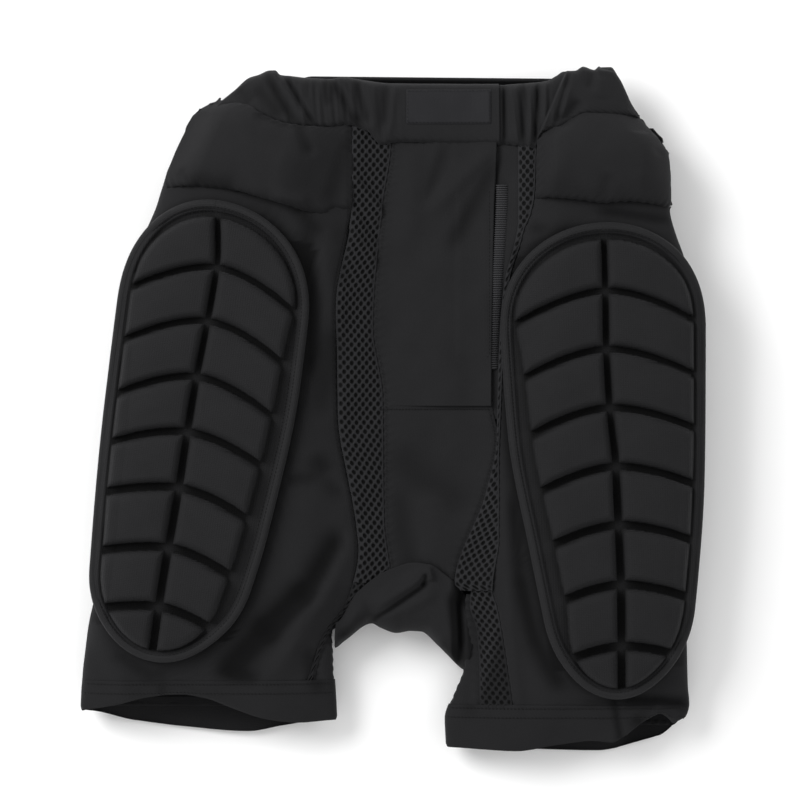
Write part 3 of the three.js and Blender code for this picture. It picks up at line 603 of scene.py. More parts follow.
def stitches(name, path, up, body, pitch=2.7, long=1.9, thick=0.42, rise=0.15, ring=False):
    """A row of lockstitches: small flat bars, rounded by their shading, laid along a path."""
    if ring:
        path, up = np.concatenate([path, path[:1]]), np.concatenate([up, up[:1]])
    walk = np.concatenate([[0], np.cumsum(np.linalg.norm(np.diff(path, axis=0), axis=1))])
    spots = np.arange(pitch / 2, walk[-1], pitch)
    at = np.stack([np.interp(spots, walk, path[:, k]) for k in range(3)], -1)
    ahead = np.stack([np.interp(spots + 0.3, walk, path[:, k]) for k in range(3)], -1) - at
    ahead /= np.maximum(np.linalg.norm(ahead, axis=1, keepdims=True), 1e-9)
    lift = np.stack([np.interp(spots, walk, up[:, k]) for k in range(3)], -1)
    lift /= np.maximum(np.linalg.norm(lift, axis=1, keepdims=True), 1e-9)
    wide = np.cross(ahead, lift)
    corner = np.array([(-1, 0, 0), (-0.6, 1, 0), (0.6, 1, 0), (1, 0, 0), (0.6, -1, 0), (-0.6, -1, 0),
                       (-0.55, 0, 1), (0.55, 0, 1), (-0.55, 0, -1), (0.55, 0, -1)])
    box = (at[:, None] + ahead[:, None] * corner[None, :, 0:1] * long / 2
           + wide[:, None] * corner[None, :, 1:2] * thick / 2
           + lift[:, None] * (corner[None, :, 2:3] * thick / 2 + rise))
    quads = np.array([(0, 6, 1, 1), (1, 6, 7, 2), (2, 7, 3, 3), (3, 7, 4, 4), (4, 7, 6, 5), (5, 6, 0, 0),
                      (1, 8, 0, 0), (2, 9, 8, 1), (3, 9, 2, 2), (4, 9, 3, 3), (5, 8, 9, 4), (0, 8, 5, 5)])
    faces = []
    for q in quads:
        faces.append([q[0], q[1], q[2]])
        if q[3] != q[2]:
            faces.append([q[0], q[2], q[3]])
    faces = np.array(faces)
    all_faces = (faces[None] + (np.arange(len(at)) * len(corner))[:, None, None]).reshape(-1, 3)
    mesh = bpy.data.meshes.new(name)
    mesh.from_pydata(metres(box.reshape(-1, 3)).tolist(), [], all_faces.tolist())
    mesh.materials.append(thread)
    made = bpy.data.objects.new(name, mesh)
    bpy.context.scene.collection.objects.link(made)
    place_on(made, body)
    return made


def place_on(piece, body):
    """Lets a piece ride on one body; on the fold line or the flap line, its transform is only baked into its
    points.
    """
    if body == "fold":
        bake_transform(piece)
    elif body == "flap":
        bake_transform(piece)
    else:
        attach(piece, body)
    return piece


for side in ("right", "left"):
    p, start, way, off, s, w, rim = pad_grid(side)
    far = nearest(s, w, rim)
    x = start[0] + way[0] * s + off[0] * w
    y = start[1] + way[1] * s + off[1] * w
    aside = w - p["bow"](s)
    up_rows = s - row_droop(p, s - row_droop(p, s, aside) * 0.9, aside)
    from_rows = np.min([np.abs(up_rows - row) for row in p["rows"]], axis=0)
    margin = mix(rim_outer(s), rim_inner(s), smooth((aside * p["inner"] + 12) / 24))
    groove = mix(2.1, 3.0, smooth(s / 300))
    inside = dents([from_rows, np.abs(aside) + 0.3, far - margin + 1.5 + groove], groove)
    block = BLOCK_RISE * np.sqrt(1 - (1 - np.clip(inside / 5.2, 0, 1)) ** 2) + 1.6 * smooth(inside / 24)
    rim_rise = mix(4.4, 2.0, smooth((far - 5.5) / 3)) * smooth(far / 1.6 + 0.3)
    # Painted shade: the grooves are darkened, less where two grooves cross and more light gets in, and the
    # rim gets a painted shade band, darkest at the foot of the blocks; none within 5 mm of the edge.
    crossing = np.exp(-((np.hypot(from_rows, aside) / 6.5) ** 2))
    beside = 0.3 + 0.5 * np.exp(-((np.maximum(margin - far, 0) / 3.5) ** 2))
    painted_shade = (1 - smooth(inside / 1.9)) * (1 - 0.7 * crossing) * mix(1, beside, smooth((margin - far) / 2))
    painted_shade = painted_shade * smooth((far - 5) / 2)
    base = lie_under(side, x, y)
    out_height = base + np.maximum(rim_rise, 1.6 + block)
    top = np.stack([x, y, out_height], -1)
    low = np.stack([x, y, base - 0.4], -1)
    uv = np.stack([w, s], -1)
    foam = shell("thigh_pad_" + side, top, low, pad_face, uv)
    store_painted_shade(foam, np.tile(painted_shade.ravel(), 2))
    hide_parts(*(f"thigh_pad_{part}_{side}_{half}" for part in ("foam", "board") for half in halves))
    place_on(foam, "fold")

    edge_x = start[0] + way[0] * rim[:, 0] + off[0] * rim[:, 1]
    edge_y = start[1] + way[1] * rim[:, 0] + off[1] * rim[:, 1]
    walk = np.concatenate([[0], np.cumsum(np.hypot(np.diff(edge_x), np.diff(edge_y)))])
    even = np.linspace(0, walk[-1], 420)
    edge_x, edge_y = np.interp(even, walk, edge_x), np.interp(even, walk, edge_y)
    heading = np.stack([np.gradient(edge_x), np.gradient(edge_y)], -1)
    heading /= np.linalg.norm(heading, axis=1, keepdims=True)
    outside = np.stack([heading[:, 1], -heading[:, 0], heading[:, 0] * 0], -1)
    if np.sum(outside[:, 0] * (edge_x - edge_x.mean())) < 0:
        outside = -outside
    spine = np.stack([edge_x, edge_y, lie_under(side, edge_x, edge_y)], -1)
    up = np.tile([0.0, 0.0, 1.0], (len(spine), 1))
    profile = np.array([(0.9, -1.4), (1.3, 1.2), (1.2, 3.8), (0.5, 5.6), (-0.9, 6.5), (-2.7, 6.6),
                        (-4.3, 6.1), (-5.3, 5.0), (-5.4, 3.6), (-4.0, 0.8), (-1.8, -1.6)])
    binding = swept("thigh_pad_binding_" + side, spine, outside, up, profile, tape_cloth)
    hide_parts(*(f"thigh_pad_binding_{side}_{half}" for half in halves))
    place_on(binding, "fold")
    for k, (inset, rise) in enumerate(((4.1, 6.2), (6.9, 4.0))):
        stitches(f"binding_stitches_{side}_{k}", spine - outside * inset + up * rise, up, "fold", ring=True)

# The hip cushions' seams, below and above, and their outer edge.
hip_lines = {
    "right": dict(
        low=curve((-200, 161), (-146, 159.6), (-113, 156.5), (-93, 151), (-73, 145.3), (-61, 142),
                  (-48, 141.5), (-40, 145), (-28, 144)),
        top=curve((-162, 205), (-144, 213), (-139, 219), (-132, 223.5), (-127, 226.5), (-120, 226),
                  (-101, 220.5), (-93, 216), (-81, 210.5), (-73, 208.4), (-46, 206.4), (-33, 208.6),
                  (-27, 208), (-19, 205)),
        edge=curve((224, -128), (217, -139), (208, -144.5), (180, -157), (169, -161), (158, -162.5)),
    ),
    "left": dict(
        low=curve((92, 151), (110, 151.5), (138, 149.2), (152, 147.3), (168, 148.6), (205, 144.6),
                  (220, 143)),
        top=curve((92, 203), (107, 204.5), (116, 205.4), (122, 207.5), (130, 213), (139, 216.6), (156, 216),
                  (179, 215.4), (183, 214.6), (192, 203.5), (204, 193)),
        edge=curve((216, 180), (213.5, 183.7), (200, 193.5), (197.5, 198.5), (188.4, 202.6), (175, 203.7),
                   (150, 203.5)),
    ),
}

# ---- Thigh and seat cloth ----
# Each side is cut from brushed polyester and elastane jersey, about a millimetre thick. It runs from
# the mesh beside the front centre, over the thigh and round the back to the centre-back seam.
jersey = knit("brushed_black_jersey", "#1c1c1d", 0.0011, 0.5)
for side in ("right", "left"):
    u = np.linspace(0, 1, 170)[None, :]
    v = np.linspace(0, 1, 230)[:, None]
    hem_y = {"right": (-203, -216), "left": (-219, -230)}[side]
    rough_turn = mix(0.72, -0.995, u)
    under_hip = hip_lines[side]["low"](tube(side, np.maximum(rough_turn, 0), 150)[..., 0]) + 17
    top = mix(under_hip, 204.5, smooth((0.02 - rough_turn) / 0.12))
    low = mix(*hem_y, smooth((0.05 - rough_turn) / 0.1))
    y = mix(top, low, v)
    start = turn_at(side, seam_beside[side](y), y)
    end = mix(-0.97, -0.985, side_closed[side](y))
    turn = mix(start, end, u**0.96)
    points = tube(side, turn, y)
    lift = smooth(turn / 0.2)
    points[..., 2] += lift * laid(points[..., 0], y)
    core = core_of(side, y, turn.shape)
    facing = outward(points, core)
    bulge = ripples(points[..., 0] + 300, y * 1.2) * (1 - lift) * 0.8
    points += normals(points) * facing * bulge[..., None]
    points[..., 2] = np.maximum(points[..., 2], 1.6)
    # Painted shadow beside the pads' edges, stronger on the inner side where the pad stands off the cloth,
    # and painted shade in the fold valleys; both fade round the back.
    gap = beside_pad(side, points[..., 0], points[..., 1])
    inner_side = smooth((points[..., 0] - side_crest[side](y)) * (1 if side == "right" else -1) / 20)
    shade = 0.85 * np.exp(-((gap / 5.5) ** 2)) * inner_side
    shade = shade + 0.45 * np.exp(-((gap / 3) ** 2)) * (1 - inner_side)
    valleys = hollows(points[..., 0], points[..., 1], laid_folds)
    cloth = sewn("thigh_cloth_" + side, points, facing, 1.1, jersey, dark=np.maximum(shade, valleys) * lift)
    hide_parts(*(f"thigh_{part}_{side}_{half}" for part in ("front", "rear") for half in halves))
    place_on(cloth, "fold")
    wide = np.linalg.norm(np.diff(points, axis=1), axis=-1).sum(1).max() / 1000
    long = np.linalg.norm(np.diff(points, axis=0), axis=-1).sum(0).max() / 1000

# ---- Hip cushions ----
# A soft foam slab sits in a pocket of the jersey over each hip, held by the seams above and below it.


def swell(name, outside, inside, material, cap, pressure=4.0):
    """Cloth round a cushion: the pocket is remeshed, blown up a little with the cloth solver, held to a
    cap of so many millimetres, and subdivided once."""
    made = shell(name, outside, inside, material)
    bpy.context.view_layer.objects.active = made
    remesh = made.modifiers.new("remesh", "REMESH")
    remesh.mode = "VOXEL"
    remesh.voxel_size = 0.0045
    graph = bpy.context.evaluated_depsgraph_get()
    mesh = bpy.data.meshes.new_from_object(made.evaluated_get(graph))
    made.modifiers.clear()
    made.data = mesh
    count = len(mesh.vertices)
    rest = np.empty(count * 3, np.float32)
    mesh.vertices.foreach_get("co", rest)
    rest = rest.reshape(-1, 3)
    cloth = made.modifiers.new("cloth", "CLOTH")
    cloth.settings.use_pressure = True
    cloth.settings.uniform_pressure_force = pressure
    cloth.settings.effector_weights.gravity = 0
    cloth.settings.quality = 6
    scene = bpy.context.scene
    for step in range(1, 21):
        scene.frame_set(step)
    graph = bpy.context.evaluated_depsgraph_get()
    blown = np.empty(count * 3, np.float32)
    made.evaluated_get(graph).data.vertices.foreach_get("co", blown)
    scene.frame_set(1)
    made.modifiers.clear()
    move = blown.reshape(-1, 3) - rest
    size = np.linalg.norm(move, axis=1, keepdims=True)
    rest = rest + move * np.minimum(1, cap / 1000 / np.maximum(size, 1e-9))
    rest[:, 2] = np.maximum(rest[:, 2], 0.0004)
    mesh.vertices.foreach_set("co", rest.ravel())
    mesh.update()
    mesh.materials.clear()
    mesh.materials.append(material)
    layer = mesh.uv_layers.get("cloth") or mesh.uv_layers.new(name="cloth")
    corner = np.empty(len(mesh.loops), np.int32)
    mesh.loops.foreach_get("vertex_index", corner)
    layer.data.foreach_set("uv", rest[corner][:, :2].astype(np.float32).ravel())
    mesh.polygons.foreach_set("use_smooth", np.ones(len(mesh.polygons), bool))
    finer = made.modifiers.new("finer", "SUBSURF")
    finer.levels = finer.render_levels = 1
    return made


for side in ("right", "left"):
    sign = -1 if side == "right" else 1
    lines = hip_lines[side]
    u = np.linspace(0, 1, 130)[None, :]
    v = np.linspace(0, 1, 70)[:, None]
    share = np.clip((u - 0.1) / 0.9, 0, 1) ** 1.25
    x = mix(lines["edge"](175), seam_beside[side](175), share) + 0 * v
    for _ in range(5):
        y = mix(lines["top"](x), lines["low"](x), v)
        x = mix(lines["edge"](y), seam_beside[side](y), share)
    points = tube(side, turn_at(side, x, y), y)
    x = points[..., 0]
    inward = np.abs(x - lines["edge"](y))
    where = smooth(inward / 26) * smooth((112 - inward) / 34) if side == "right" else smooth(inward / 26)
    if side == "left":
        where = where * smooth((x - seams_left(y)) / 16)
    high = np.clip(np.sin(np.pi * v), 0, 1) ** 0.6
    puff = 2.4 + 12.0 * where * high + 2.4 * high
    core = core_of(side, y, x.shape)
    facing = outward(points, core)
    tucks = {"right": [(-67, 207, -58, 184, 4.5, -3.2), (-44, 148, -30, 196, 8, -3.0),
                       (-140, 163, -112, 159, 6, -2.6), (-100, 158, -60, 150, 6, 1.6),
                       (-96, 211, -72, 203, 4, -2.4), (-100, 196, -66, 192, 9, -1.2),
                       (-150, 172, -138, 160, 4, -1.6), (-84, 152, -60, 150, 4, 1.6)],
             "left": [(136, 219, 120, 205, 4.5, -5.0), (126, 206, 116, 160, 9, 1.4),
                      (150, 150, 156, 168, 5, -1.4), (180, 148, 176, 170, 6, 1.2),
                      (196, 200, 190, 184, 5, -1.4)]}[side]
    puff = puff + creases(x, y, tucks) + 0.6 * ripples(x * 1.3, y * 1.3)
    out = normals(points) * facing * [0.3, 0.3, 1.0]
    outside = points + out * puff[..., None]
    wrap = int(0.1 * 129)
    back = tube(side, -0.16, y[:, wrap])
    for grid_points in (points, outside):
        for k in range(wrap):
            grid_points[:, k] = mix(back, grid_points[:, wrap], (k / wrap) ** 0.7)
    # Painted shade in the tucks' valleys and along the low seam.
    dark = np.clip(-creases(x, y, tucks) / 9, 0, 0.4) + 0.35 * np.exp(-(((1 - v) / 0.05) ** 2))
    cover = sewn("hip_cover_" + side, outside, facing, 1.2, jersey, seams="tbr", depth=2.0, wide=3.2,
                 dark=dark)
    core_foam = shell("hip_cushion_" + side, mix(points, outside, 0.6)[8:-8, 16:-12], points[8:-8, 16:-12],
                      pad_face)
    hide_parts("hip_cover_" + side, "hip_lining_" + side)
    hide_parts("hip_foam_" + side)
    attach(cover, "seat_and_waist")
    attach(core_foam, "seat_and_waist")

# ---- Front centre panel, fly flap and underlap ----
# The front centre is two layers of jersey: a panel below the fly, and above it a flap that is sewn down
# one side and closes over an underlap with a strip of hook and loop.


def line(x):
    """A straight line up the garment at x."""
    return lambda y: x + 0 * y


def piece_of(name, points, material, nodes, slot, body, held="laid", thick=1.0, **sewing):
    """A cloth piece on the front, sewn round and placed."""
    facing = facing_up(points)
    # Painted shade in the fold valleys, unless a dark value is given.
    sewing.setdefault("dark", hollows(points[..., 0], points[..., 1], laid_folds))
    made = sewn(name, points, facing, thick, material, **sewing)
    if nodes:
        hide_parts(*nodes)
    place_on(made, body)
    return made


def on_front(xs, ys, lift):
    """A line of points on the laid front cloth, and the way up there."""
    z = front_z(xs, ys) + lift + laid(xs, ys)
    return np.stack([xs, ys, z], -1), np.tile([0.0, 0.0, 1.0], (len(xs), 1))


panel = laid_patch(panel_right, panel_left, 7, lambda u: -126 + 13 * np.sin(np.pi * u), 120, 190, lift=0.8)
piece_of("front_panel", panel, jersey, ("front_panel_upper", "front_panel_lower"), "cloth", "fold",
         seams="lrb")
flap = laid_patch(panel_right, fly_edge, 200, 3.6, 150, 260, lift=0.8)
toward = smooth((flap[..., 0] - panel_right(flap[..., 1]) - 8) / 45)
over_strip = np.exp(-(((flap[..., 0] - 59) / 11.5) ** 8) - (((flap[..., 1] - 99.5) / 61) ** 16))
flap[..., 2] += 2.4 * toward + 0.9 * over_strip
piece_of("fly_flap_panel", flap, jersey, ("fly_panel", "fly_flap"), "cloth", "flap", seams="lt", thick=1.5)
under_edge = curve((195, 93), (137, 93), (119, 90), (95, 83.5), (60, 80), (-6, 78))
under = laid_patch(line(44), under_edge, 201, -6, 60, 200, lift=-1.0)
piece_of("fly_underlap", under, jersey, ("fly_underlap",), "cloth", "seat_and_waist", seams="")
serge_y = np.linspace(163, 30, 420)
serge_x = curve((163, 80), (94, 76.5), (30, 73))(serge_y)
serge, up = on_front(serge_x, serge_y, 0.1)
ribs = np.sin(np.arange(420) * 133 / 420 * 2 * np.pi / 1.6)
oval = np.array([(np.cos(t) * 4.0, np.sin(t) * 1.5) for t in np.linspace(0, 2 * np.pi, 13)[:-1]])
aside = np.tile([1.0, 0.0, 0.0], (420, 1))
edge_thread = knit("overlock_thread", "#3a3a3c", 0.0012, 0.6, rough=0.55)
overlock = swept("fly_underlap_overlock", serge, aside * (1 + 0.12 * ribs[:, None]),
                 up * (1 + 0.35 * ribs[:, None]), oval, edge_thread, closed=False)
# Painted shade between the ribs of the overlock thread.
store_painted_shade(overlock, np.repeat(0.5 - 0.5 * ribs, 12))
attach(overlock, "seat_and_waist")

hook_tape = knit("hook_and_loop_tape", "#1a1a1a", 0.0016, 1.0, rough=0.9)


def beside_flap(x):
    """A line up the garment at x, kept clear of the line that the flap bends along."""
    at = flap_at * 1000 - frame_shift
    return lambda y: np.maximum(x, at[0] + (y - at[1]) * flap_way[0] / flap_way[1] + 5)


for name, x0, x1, y0, y1, lift, node, body in (
    ("fly_loop_strip", 52, 70, 156, 42, -0.3, "fly_loop_strip", "seat_and_waist"),
    ("fly_hook_strip", 50, 70, 156, 42, 1.2, "fly_hook_strip", "fly_flap"),
):
    strip = laid_patch(beside_flap(x0), line(x1), y0, y1, 24, 90, lift=lift)
    piece_of(name, strip, hook_tape, (node,), "tape", body, seams="", thick=0.6)

# ---- Spacer mesh ----
# A warp-knitted polyester mesh with round eyelets, let in beside the front centre and down the inside of
# each leg so that sweat can leave.
eyelet = (5.6, 4.9)


def holes_at(u, v):
    """1 in an eyelet and 0 between them: the nearest point of a staggered lattice, in millimetres."""
    best = np.full(u.shape, 1e9)
    for du, dv in ((0, 0), (0.5, 0.5)):
        a = (u / eyelet[0] + du + 0.5) % 1 - 0.5
        b = (v / (eyelet[1] * 1.35) + dv + 0.5) % 1 - 0.5
        best = np.minimum(best, np.hypot(a * eyelet[0] * 0.95, b * eyelet[1] * 1.35 * 0.8))
    return smooth((1.75 - best) / 0.8)


spacer, tree, shader = new_material("warp_knitted_spacer_mesh")
where = add(tree, "ShaderNodeAttribute", {"attribute_name": "eyelet"})
place = add(tree, "ShaderNodeUVMap", {"uv_map": "cloth"}).outputs[0]
yarn = add(tree, "ShaderNodeTexNoise", Vector=place, Scale=1100.0, Detail=3.0)
body_tone = add(tree, "ShaderNodeMix", {"data_type": "RGBA"}, Factor=yarn.outputs[0])
body_tone.inputs[6].default_value = linear("#1e1e1f")
body_tone.inputs[7].default_value = linear("#28282a")
# Painted shade: the base colour falls to near black where the "eyelet" value rises, in the eyelets' pits and
# in shade.
tone = add(tree, "ShaderNodeMix", {"data_type": "RGBA"}, Factor=where.outputs["Fac"])
tree.links.new(body_tone.outputs[2], tone.inputs[6])
tone.inputs[7].default_value = linear("#020202")
tree.links.new(tone.outputs[2], shader.inputs["Base Color"])
relief = add(tree, "ShaderNodeBump", Height=yarn.outputs[0], Strength=0.5, Distance=0.0003)
tree.links.new(relief.outputs[0], shader.inputs["Normal"])
shader.inputs["Roughness"].default_value = 0.7
shader.inputs["Specular IOR Level"].default_value = 0.08
shader.inputs["Sheen Weight"].default_value = 0.05


def mesh_piece(name, points, nodes, body, core=None, shaded=None):
    """A piece of spacer mesh: a cushioned face with a pit at each eyelet, with painted shade in the pits, in
    the fold valleys and where it lies deep.
    """
    left, right, top, low = edge_distance(points)
    facing = 1 if core is None and normals(points)[..., 2].mean() > 0 else -1
    if core is not None:
        facing = outward(points, core)
    pits = holes_at(left - left[:, -1:].mean() / 2, top) * smooth(np.minimum(left, right) / 2.0)
    sink = 1.2 * pits + 1.2 * np.exp(-((np.minimum(left, right) / 2.2) ** 2))
    out = normals(points) * facing
    face = points + out * (1.0 - sink)[..., None]
    made = shell(name, face, points - out * 1.4, spacer, np.stack([left, top], -1))
    # Painted shade: the eyelets' pits, the fold valleys and, if given, the shade where the piece lies deep,
    # stored as its "eyelet" value.
    shadow = hollows(points[..., 0], points[..., 1], laid_folds)
    if shaded is not None:
        shadow = np.maximum(shadow, shaded(left, right, points))
    dark = np.maximum(pits, shadow)
    painted_mesh_shade = made.data.attributes.new("eyelet", "FLOAT", "POINT")
    painted_mesh_shade.data.foreach_set("value", np.tile(dark.ravel(), 2).astype(np.float32))
    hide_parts(*nodes)
    place_on(made, body)
    return made


gathers = [(-30, 172, 0, 136, 3, 2.2), (-34, 158, -6, 120, 3, -1.6), (-36, 140, -8, 104, 3.5, 1.6)]
strip = laid_patch(seams_right, panel_right, 214, -124, 64, 560, lift=0.6)
strip[..., 2] += creases(strip[..., 0], strip[..., 1], gathers)
mesh_piece("front_mesh_right", strip, ("mesh_front_right_upper", "mesh_front_right_lower"), "fold")
left_edge = curve((203, 91), (187, 91.5), (137, 91.5), (119, 88.5), (95, 82), (60, 78.5), (4, 76.5),
                  (-20, 76), (-60, 68), (-125, 46), (-130, 50))
strip = laid_patch(left_edge, seams_left, 202, -130, 60, 540, lift=0.2)
strip[..., 2] += 1.4 * smooth((-108 - strip[..., 1]) / 12)
mesh_piece("front_mesh_left", strip, ("mesh_front_left_upper", "mesh_front_left_lower"), "fold")
mesh_end = {"right": curve((-124, -12), (-165, -46), (-196, -55), (-222, -52)),
            "left": curve((-126, 58), (-140, 57), (-160, 62), (-190, 64), (-222, 64))}


def inside_leg(side, start, end, top, low, columns, rows):
    """A grid of points down the inside of a leg, between two turns."""
    v = np.linspace(0, 1, rows)[:, None]
    y = mix(top, low, v) + np.zeros((1, columns))
    turn = mix(start(y), end(y), np.linspace(0, 1, columns)[None, :])
    points = tube(side, turn, y)
    fade = smooth((1 - turn) / 0.2)
    points[..., 2] += fade * laid(points[..., 0], y)
    return points, core_of(side, y, y.shape)


# Painted shade on the inner mesh: even over the right one, and on the left towards the seam under the thigh
# cloth's fold, reaching further in lower down.
inner_shade = {
    "right": lambda left, right, points: 0.45 + 0 * left,
    "left": lambda left, right, points: 0.5
    * smooth((points[..., 0] - 78 - (points[..., 1] + 148) * 0.32) / 10),
}
for side, top, low, nodes in (("right", -124, -196, ("mesh_inner_right",)),
                              ("left", -123, -216, ("mesh_inner_left",))):
    mesh_from = lambda y: turn_at(side, seam_beside[side](y), y)
    mesh_to = lambda y: np.maximum(turn_at(side, mesh_end[side](y), y), mesh_from(y) + 0.02)
    points, core = inside_leg(side, mesh_from, mesh_to, top, low, 70, 150)
    mesh_piece("inner_mesh_" + side, points, nodes, "legs", core, inner_shade[side])
    points, core = inside_leg(side, mesh_to, lambda y: 0.985 + 0 * y, top - 10, low, 40, 90)
    strip_of_cloth = sewn("inner_leg_cloth_" + side, points, outward(points, core), 1.2, jersey, seams="lr")
    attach(strip_of_cloth, "legs")

# ---- Crotch gusset ----
# A slack diamond of jersey joins the two legs. It puckers into a loop where the centre seams meet, and
# turns back underneath to the seat.
u = np.linspace(0, 1, 110)[None, :]
v = np.concatenate([np.linspace(0, 1, 90), np.linspace(1, 2, 40)[1:]])[:, None]
top_line = curve((-40, -153), (-26, -133), (-14, -122), (0, -114), (17, -109.5), (28, -111), (40, -119),
                 (50, -128), (58, -142), (62, -158))
low_line = curve((-41, -173), (-34, -168), (-14, -155), (-8, -158), (4, -162), (14, -160.5), (22, -161),
                 (33, -170), (41, -178), (55, -190))
gusset_top = np.stack([mix(-40, 62, u), top_line(mix(-40, 62, u))], -1)
gusset_low = np.stack([mix(-41, 55, u), low_line(mix(-41, 55, u))], -1)
plan = mix(gusset_top, gusset_low, np.minimum(np.sin(np.clip(v, 0, 1) * np.pi / 2) ** 0.9, 1)[..., None])
under_line = np.stack([mix(-30, 54, u), -100 + 0 * u], -1)
plan = mix(plan, under_line, np.clip(v - 1, 0, 1)[..., None])
rise = 38 - 24 * np.clip(v, 0, 1) ** 2.6 + 3.5 * np.sin(np.pi * np.clip(v, 0, 1)) ** 2 + 0 * u
rise = rise - 12 * smooth((plan[..., 0] - 43) / 8) - 5 * smooth((-26 - plan[..., 0]) / 12)
gusset_folds = [(-40, -160, 26, -118, 6, 5.0), (-14, -152, 26, -124, 2.6, -4.5),
                (-38, -163, -12, -141, 6, -6.0), (-8, -154, 30, -132, 5, 3.0), (27, -113, 30, -122, 2.2, 3.4),
                (26, -118, 22, -126, 1.8, -3.4), (46, -134, 50, -172, 4, -6.0), (53, -140, 54, -176, 3, 3.6),
                (36, -168, 50, -180, 5, -4.0), (10, -150, 26, -152, 6, 1.8)]
rise = np.maximum(rise + creases(plan[..., 0], plan[..., 1], gusset_folds) * np.clip(1.2 - v, 0, 1), 3.0)
rise = mix(rise, underside(plan[..., 1]) + 2.2, smooth((v - 1) / 0.3))
gusset = np.concatenate([plan, rise[..., None]], -1)
# Painted shade in the fold valleys, and over the end towards the left leg where the gusset sinks into a
# hollow.
valleys = -creases(plan[..., 0], plan[..., 1], gusset_folds)
piece_of("crotch_gusset_cloth", gusset, jersey, ("crotch_gusset",), "cloth", "legs", seams="",
         dark=np.clip(valleys / 5 + 0.7 * smooth((plan[..., 0] - 43) / 5), 0, 0.9))

# ---- Hems ----
# The bottom of each leg is turned up and held with two rows of stitches.
hem_bounds = {
    "right": dict(
        top=-195,
        front=curve((-226, -217), (-200, -213), (-175, -207), (-152, -205), (-134, -208), (-114, -215.8),
                    (-90, -223.5), (-67, -226), (-38, -224.5)),
        rear=curve((-226, -218), (-190, -226), (-152, -231), (-106, -234.5), (-80, -230), (-38, -224)),
    ),
    "left": dict(
        top=-213,
        front=curve((38, -244.5), (70, -245.5), (93, -246.5), (122, -242.5), (150, -239.4), (167, -240.5),
                    (173, -237), (184, -226), (194, -219.5), (203, -224), (208, -227), (213, -224),
                    (218, -222)),
        rear=curve((38, -244), (93, -247), (158, -248.6), (205, -237), (213, -226), (218, -224)),
    ),
}
for side in ("right", "left"):
    lines = hem_bounds[side]
    for part, way in (("front", 1), ("rear", -1)):
        turn = np.linspace(-0.012, 1.008, 150)[None, :]
        v = np.linspace(0, 1, 44)[:, None]
        edge = lines[part](tube(side, turn * way, lines["top"] - 8)[..., 0])
        y = mix(lines["top"] if way > 0 else np.maximum(lines["top"] - 14, edge + 7), edge, v)
        points = tube(side, turn * way, y)
        flat = np.clip(np.sin(np.pi * turn), 0, 1) ** 0.4
        x = points[..., 0]
        if way > 0:
            points[..., 2] += flat * (laid(x, y) + 0.7)
        wave = 1.4 * np.sin(turn * 2 * np.pi * 3.2 + (1 if way > 0 else 2.5)) * v
        points[..., 2] = np.maximum(points[..., 2] + wave * flat, 1.9 if way < 0 else 4)
        core = core_of(side, y, y.shape)
        facing = outward(points, core)
        # Painted shade: in the fold valleys on the front hem, and in the cavity at the left leg's rear hem,
        # deeper towards its edge.
        if way > 0:
            dark = hollows(x, y, laid_folds)
        else:
            dark = 0.5 * smooth((x - 168) / 8) * smooth((210 - x) / 6) * v
        hem = sewn(f"hem_{part}_{side}_cloth", points, facing, 1.7, jersey, seams="b", depth=0.8, wide=1.4,
                   pucker=0.1, dark=dark)
        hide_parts(f"hem_{part}_{side}")
        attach(hem, "legs")
        if way > 0:
            for row in (2.5, 9.3):
                k = np.linspace(0.03, 0.97, 240)
                x = tube(side, k, lines["top"] - row)[:, 0]
                deep = np.minimum(row, lines["top"] - lines["front"](x) - 1.5)
                yy = lines["top"] - deep
                path = tube(side, k, yy)
                share = deep / (lines["top"] - lines["front"](x))
                flat = np.sin(np.pi * k) ** 0.4
                path[:, 2] += flat * (laid(path[:, 0], yy) + 0.8)
                path[:, 2] += 1.4 * np.sin(k * 2 * np.pi * 3.2 + 1) * share * flat
                stitches(f"hem_stitches_{side}_{int(row)}", path, np.tile([0.0, 0.0, 1.0], (240, 1)),
                         "legs", thick=0.7)

# ---- Waistband ----
# A casing of doubled jersey with an elastic inside. It gathers beside the flat tab that closes the front,
# and the back stands a little higher behind.
band_top = {
    "right": curve((-127, 219), (-121, 224), (-113, 231), (-103, 240), (-96, 242), (-88, 245), (-84, 245),
                   (-80, 241.5), (-73, 240.7), (-62, 239.3), (-43, 238.6), (-36, 240), (-18, 237.5),
                   (0, 235.5), (97, 235)),
    "left": curve((66, 234), (97, 235.5), (112, 237), (119, 240.5), (125, 244), (133, 244.3), (139, 247.4),
                  (147, 245.2), (151, 248.3), (159.7, 248.5), (165.5, 241), (171, 229), (176, 219),
                  (180, 213)),
}
band_low = {
    "right": curve((-127, 216), (-120, 219.5), (-101, 216), (-93, 212), (-81, 207), (-73, 205),
                   (-61, 203.8), (-46, 203.4), (-33, 205.5), (-27, 205), (-19, 202), (-7, 191.5), (6, 193.5),
                   (40, 192.5), (97, 192)),
    "left": curve((66, 191), (81, 191.5), (104, 188.5), (108, 199), (116, 202), (122, 204), (130, 209.5),
                  (139, 213), (156, 212.5), (180, 211.5)),
}
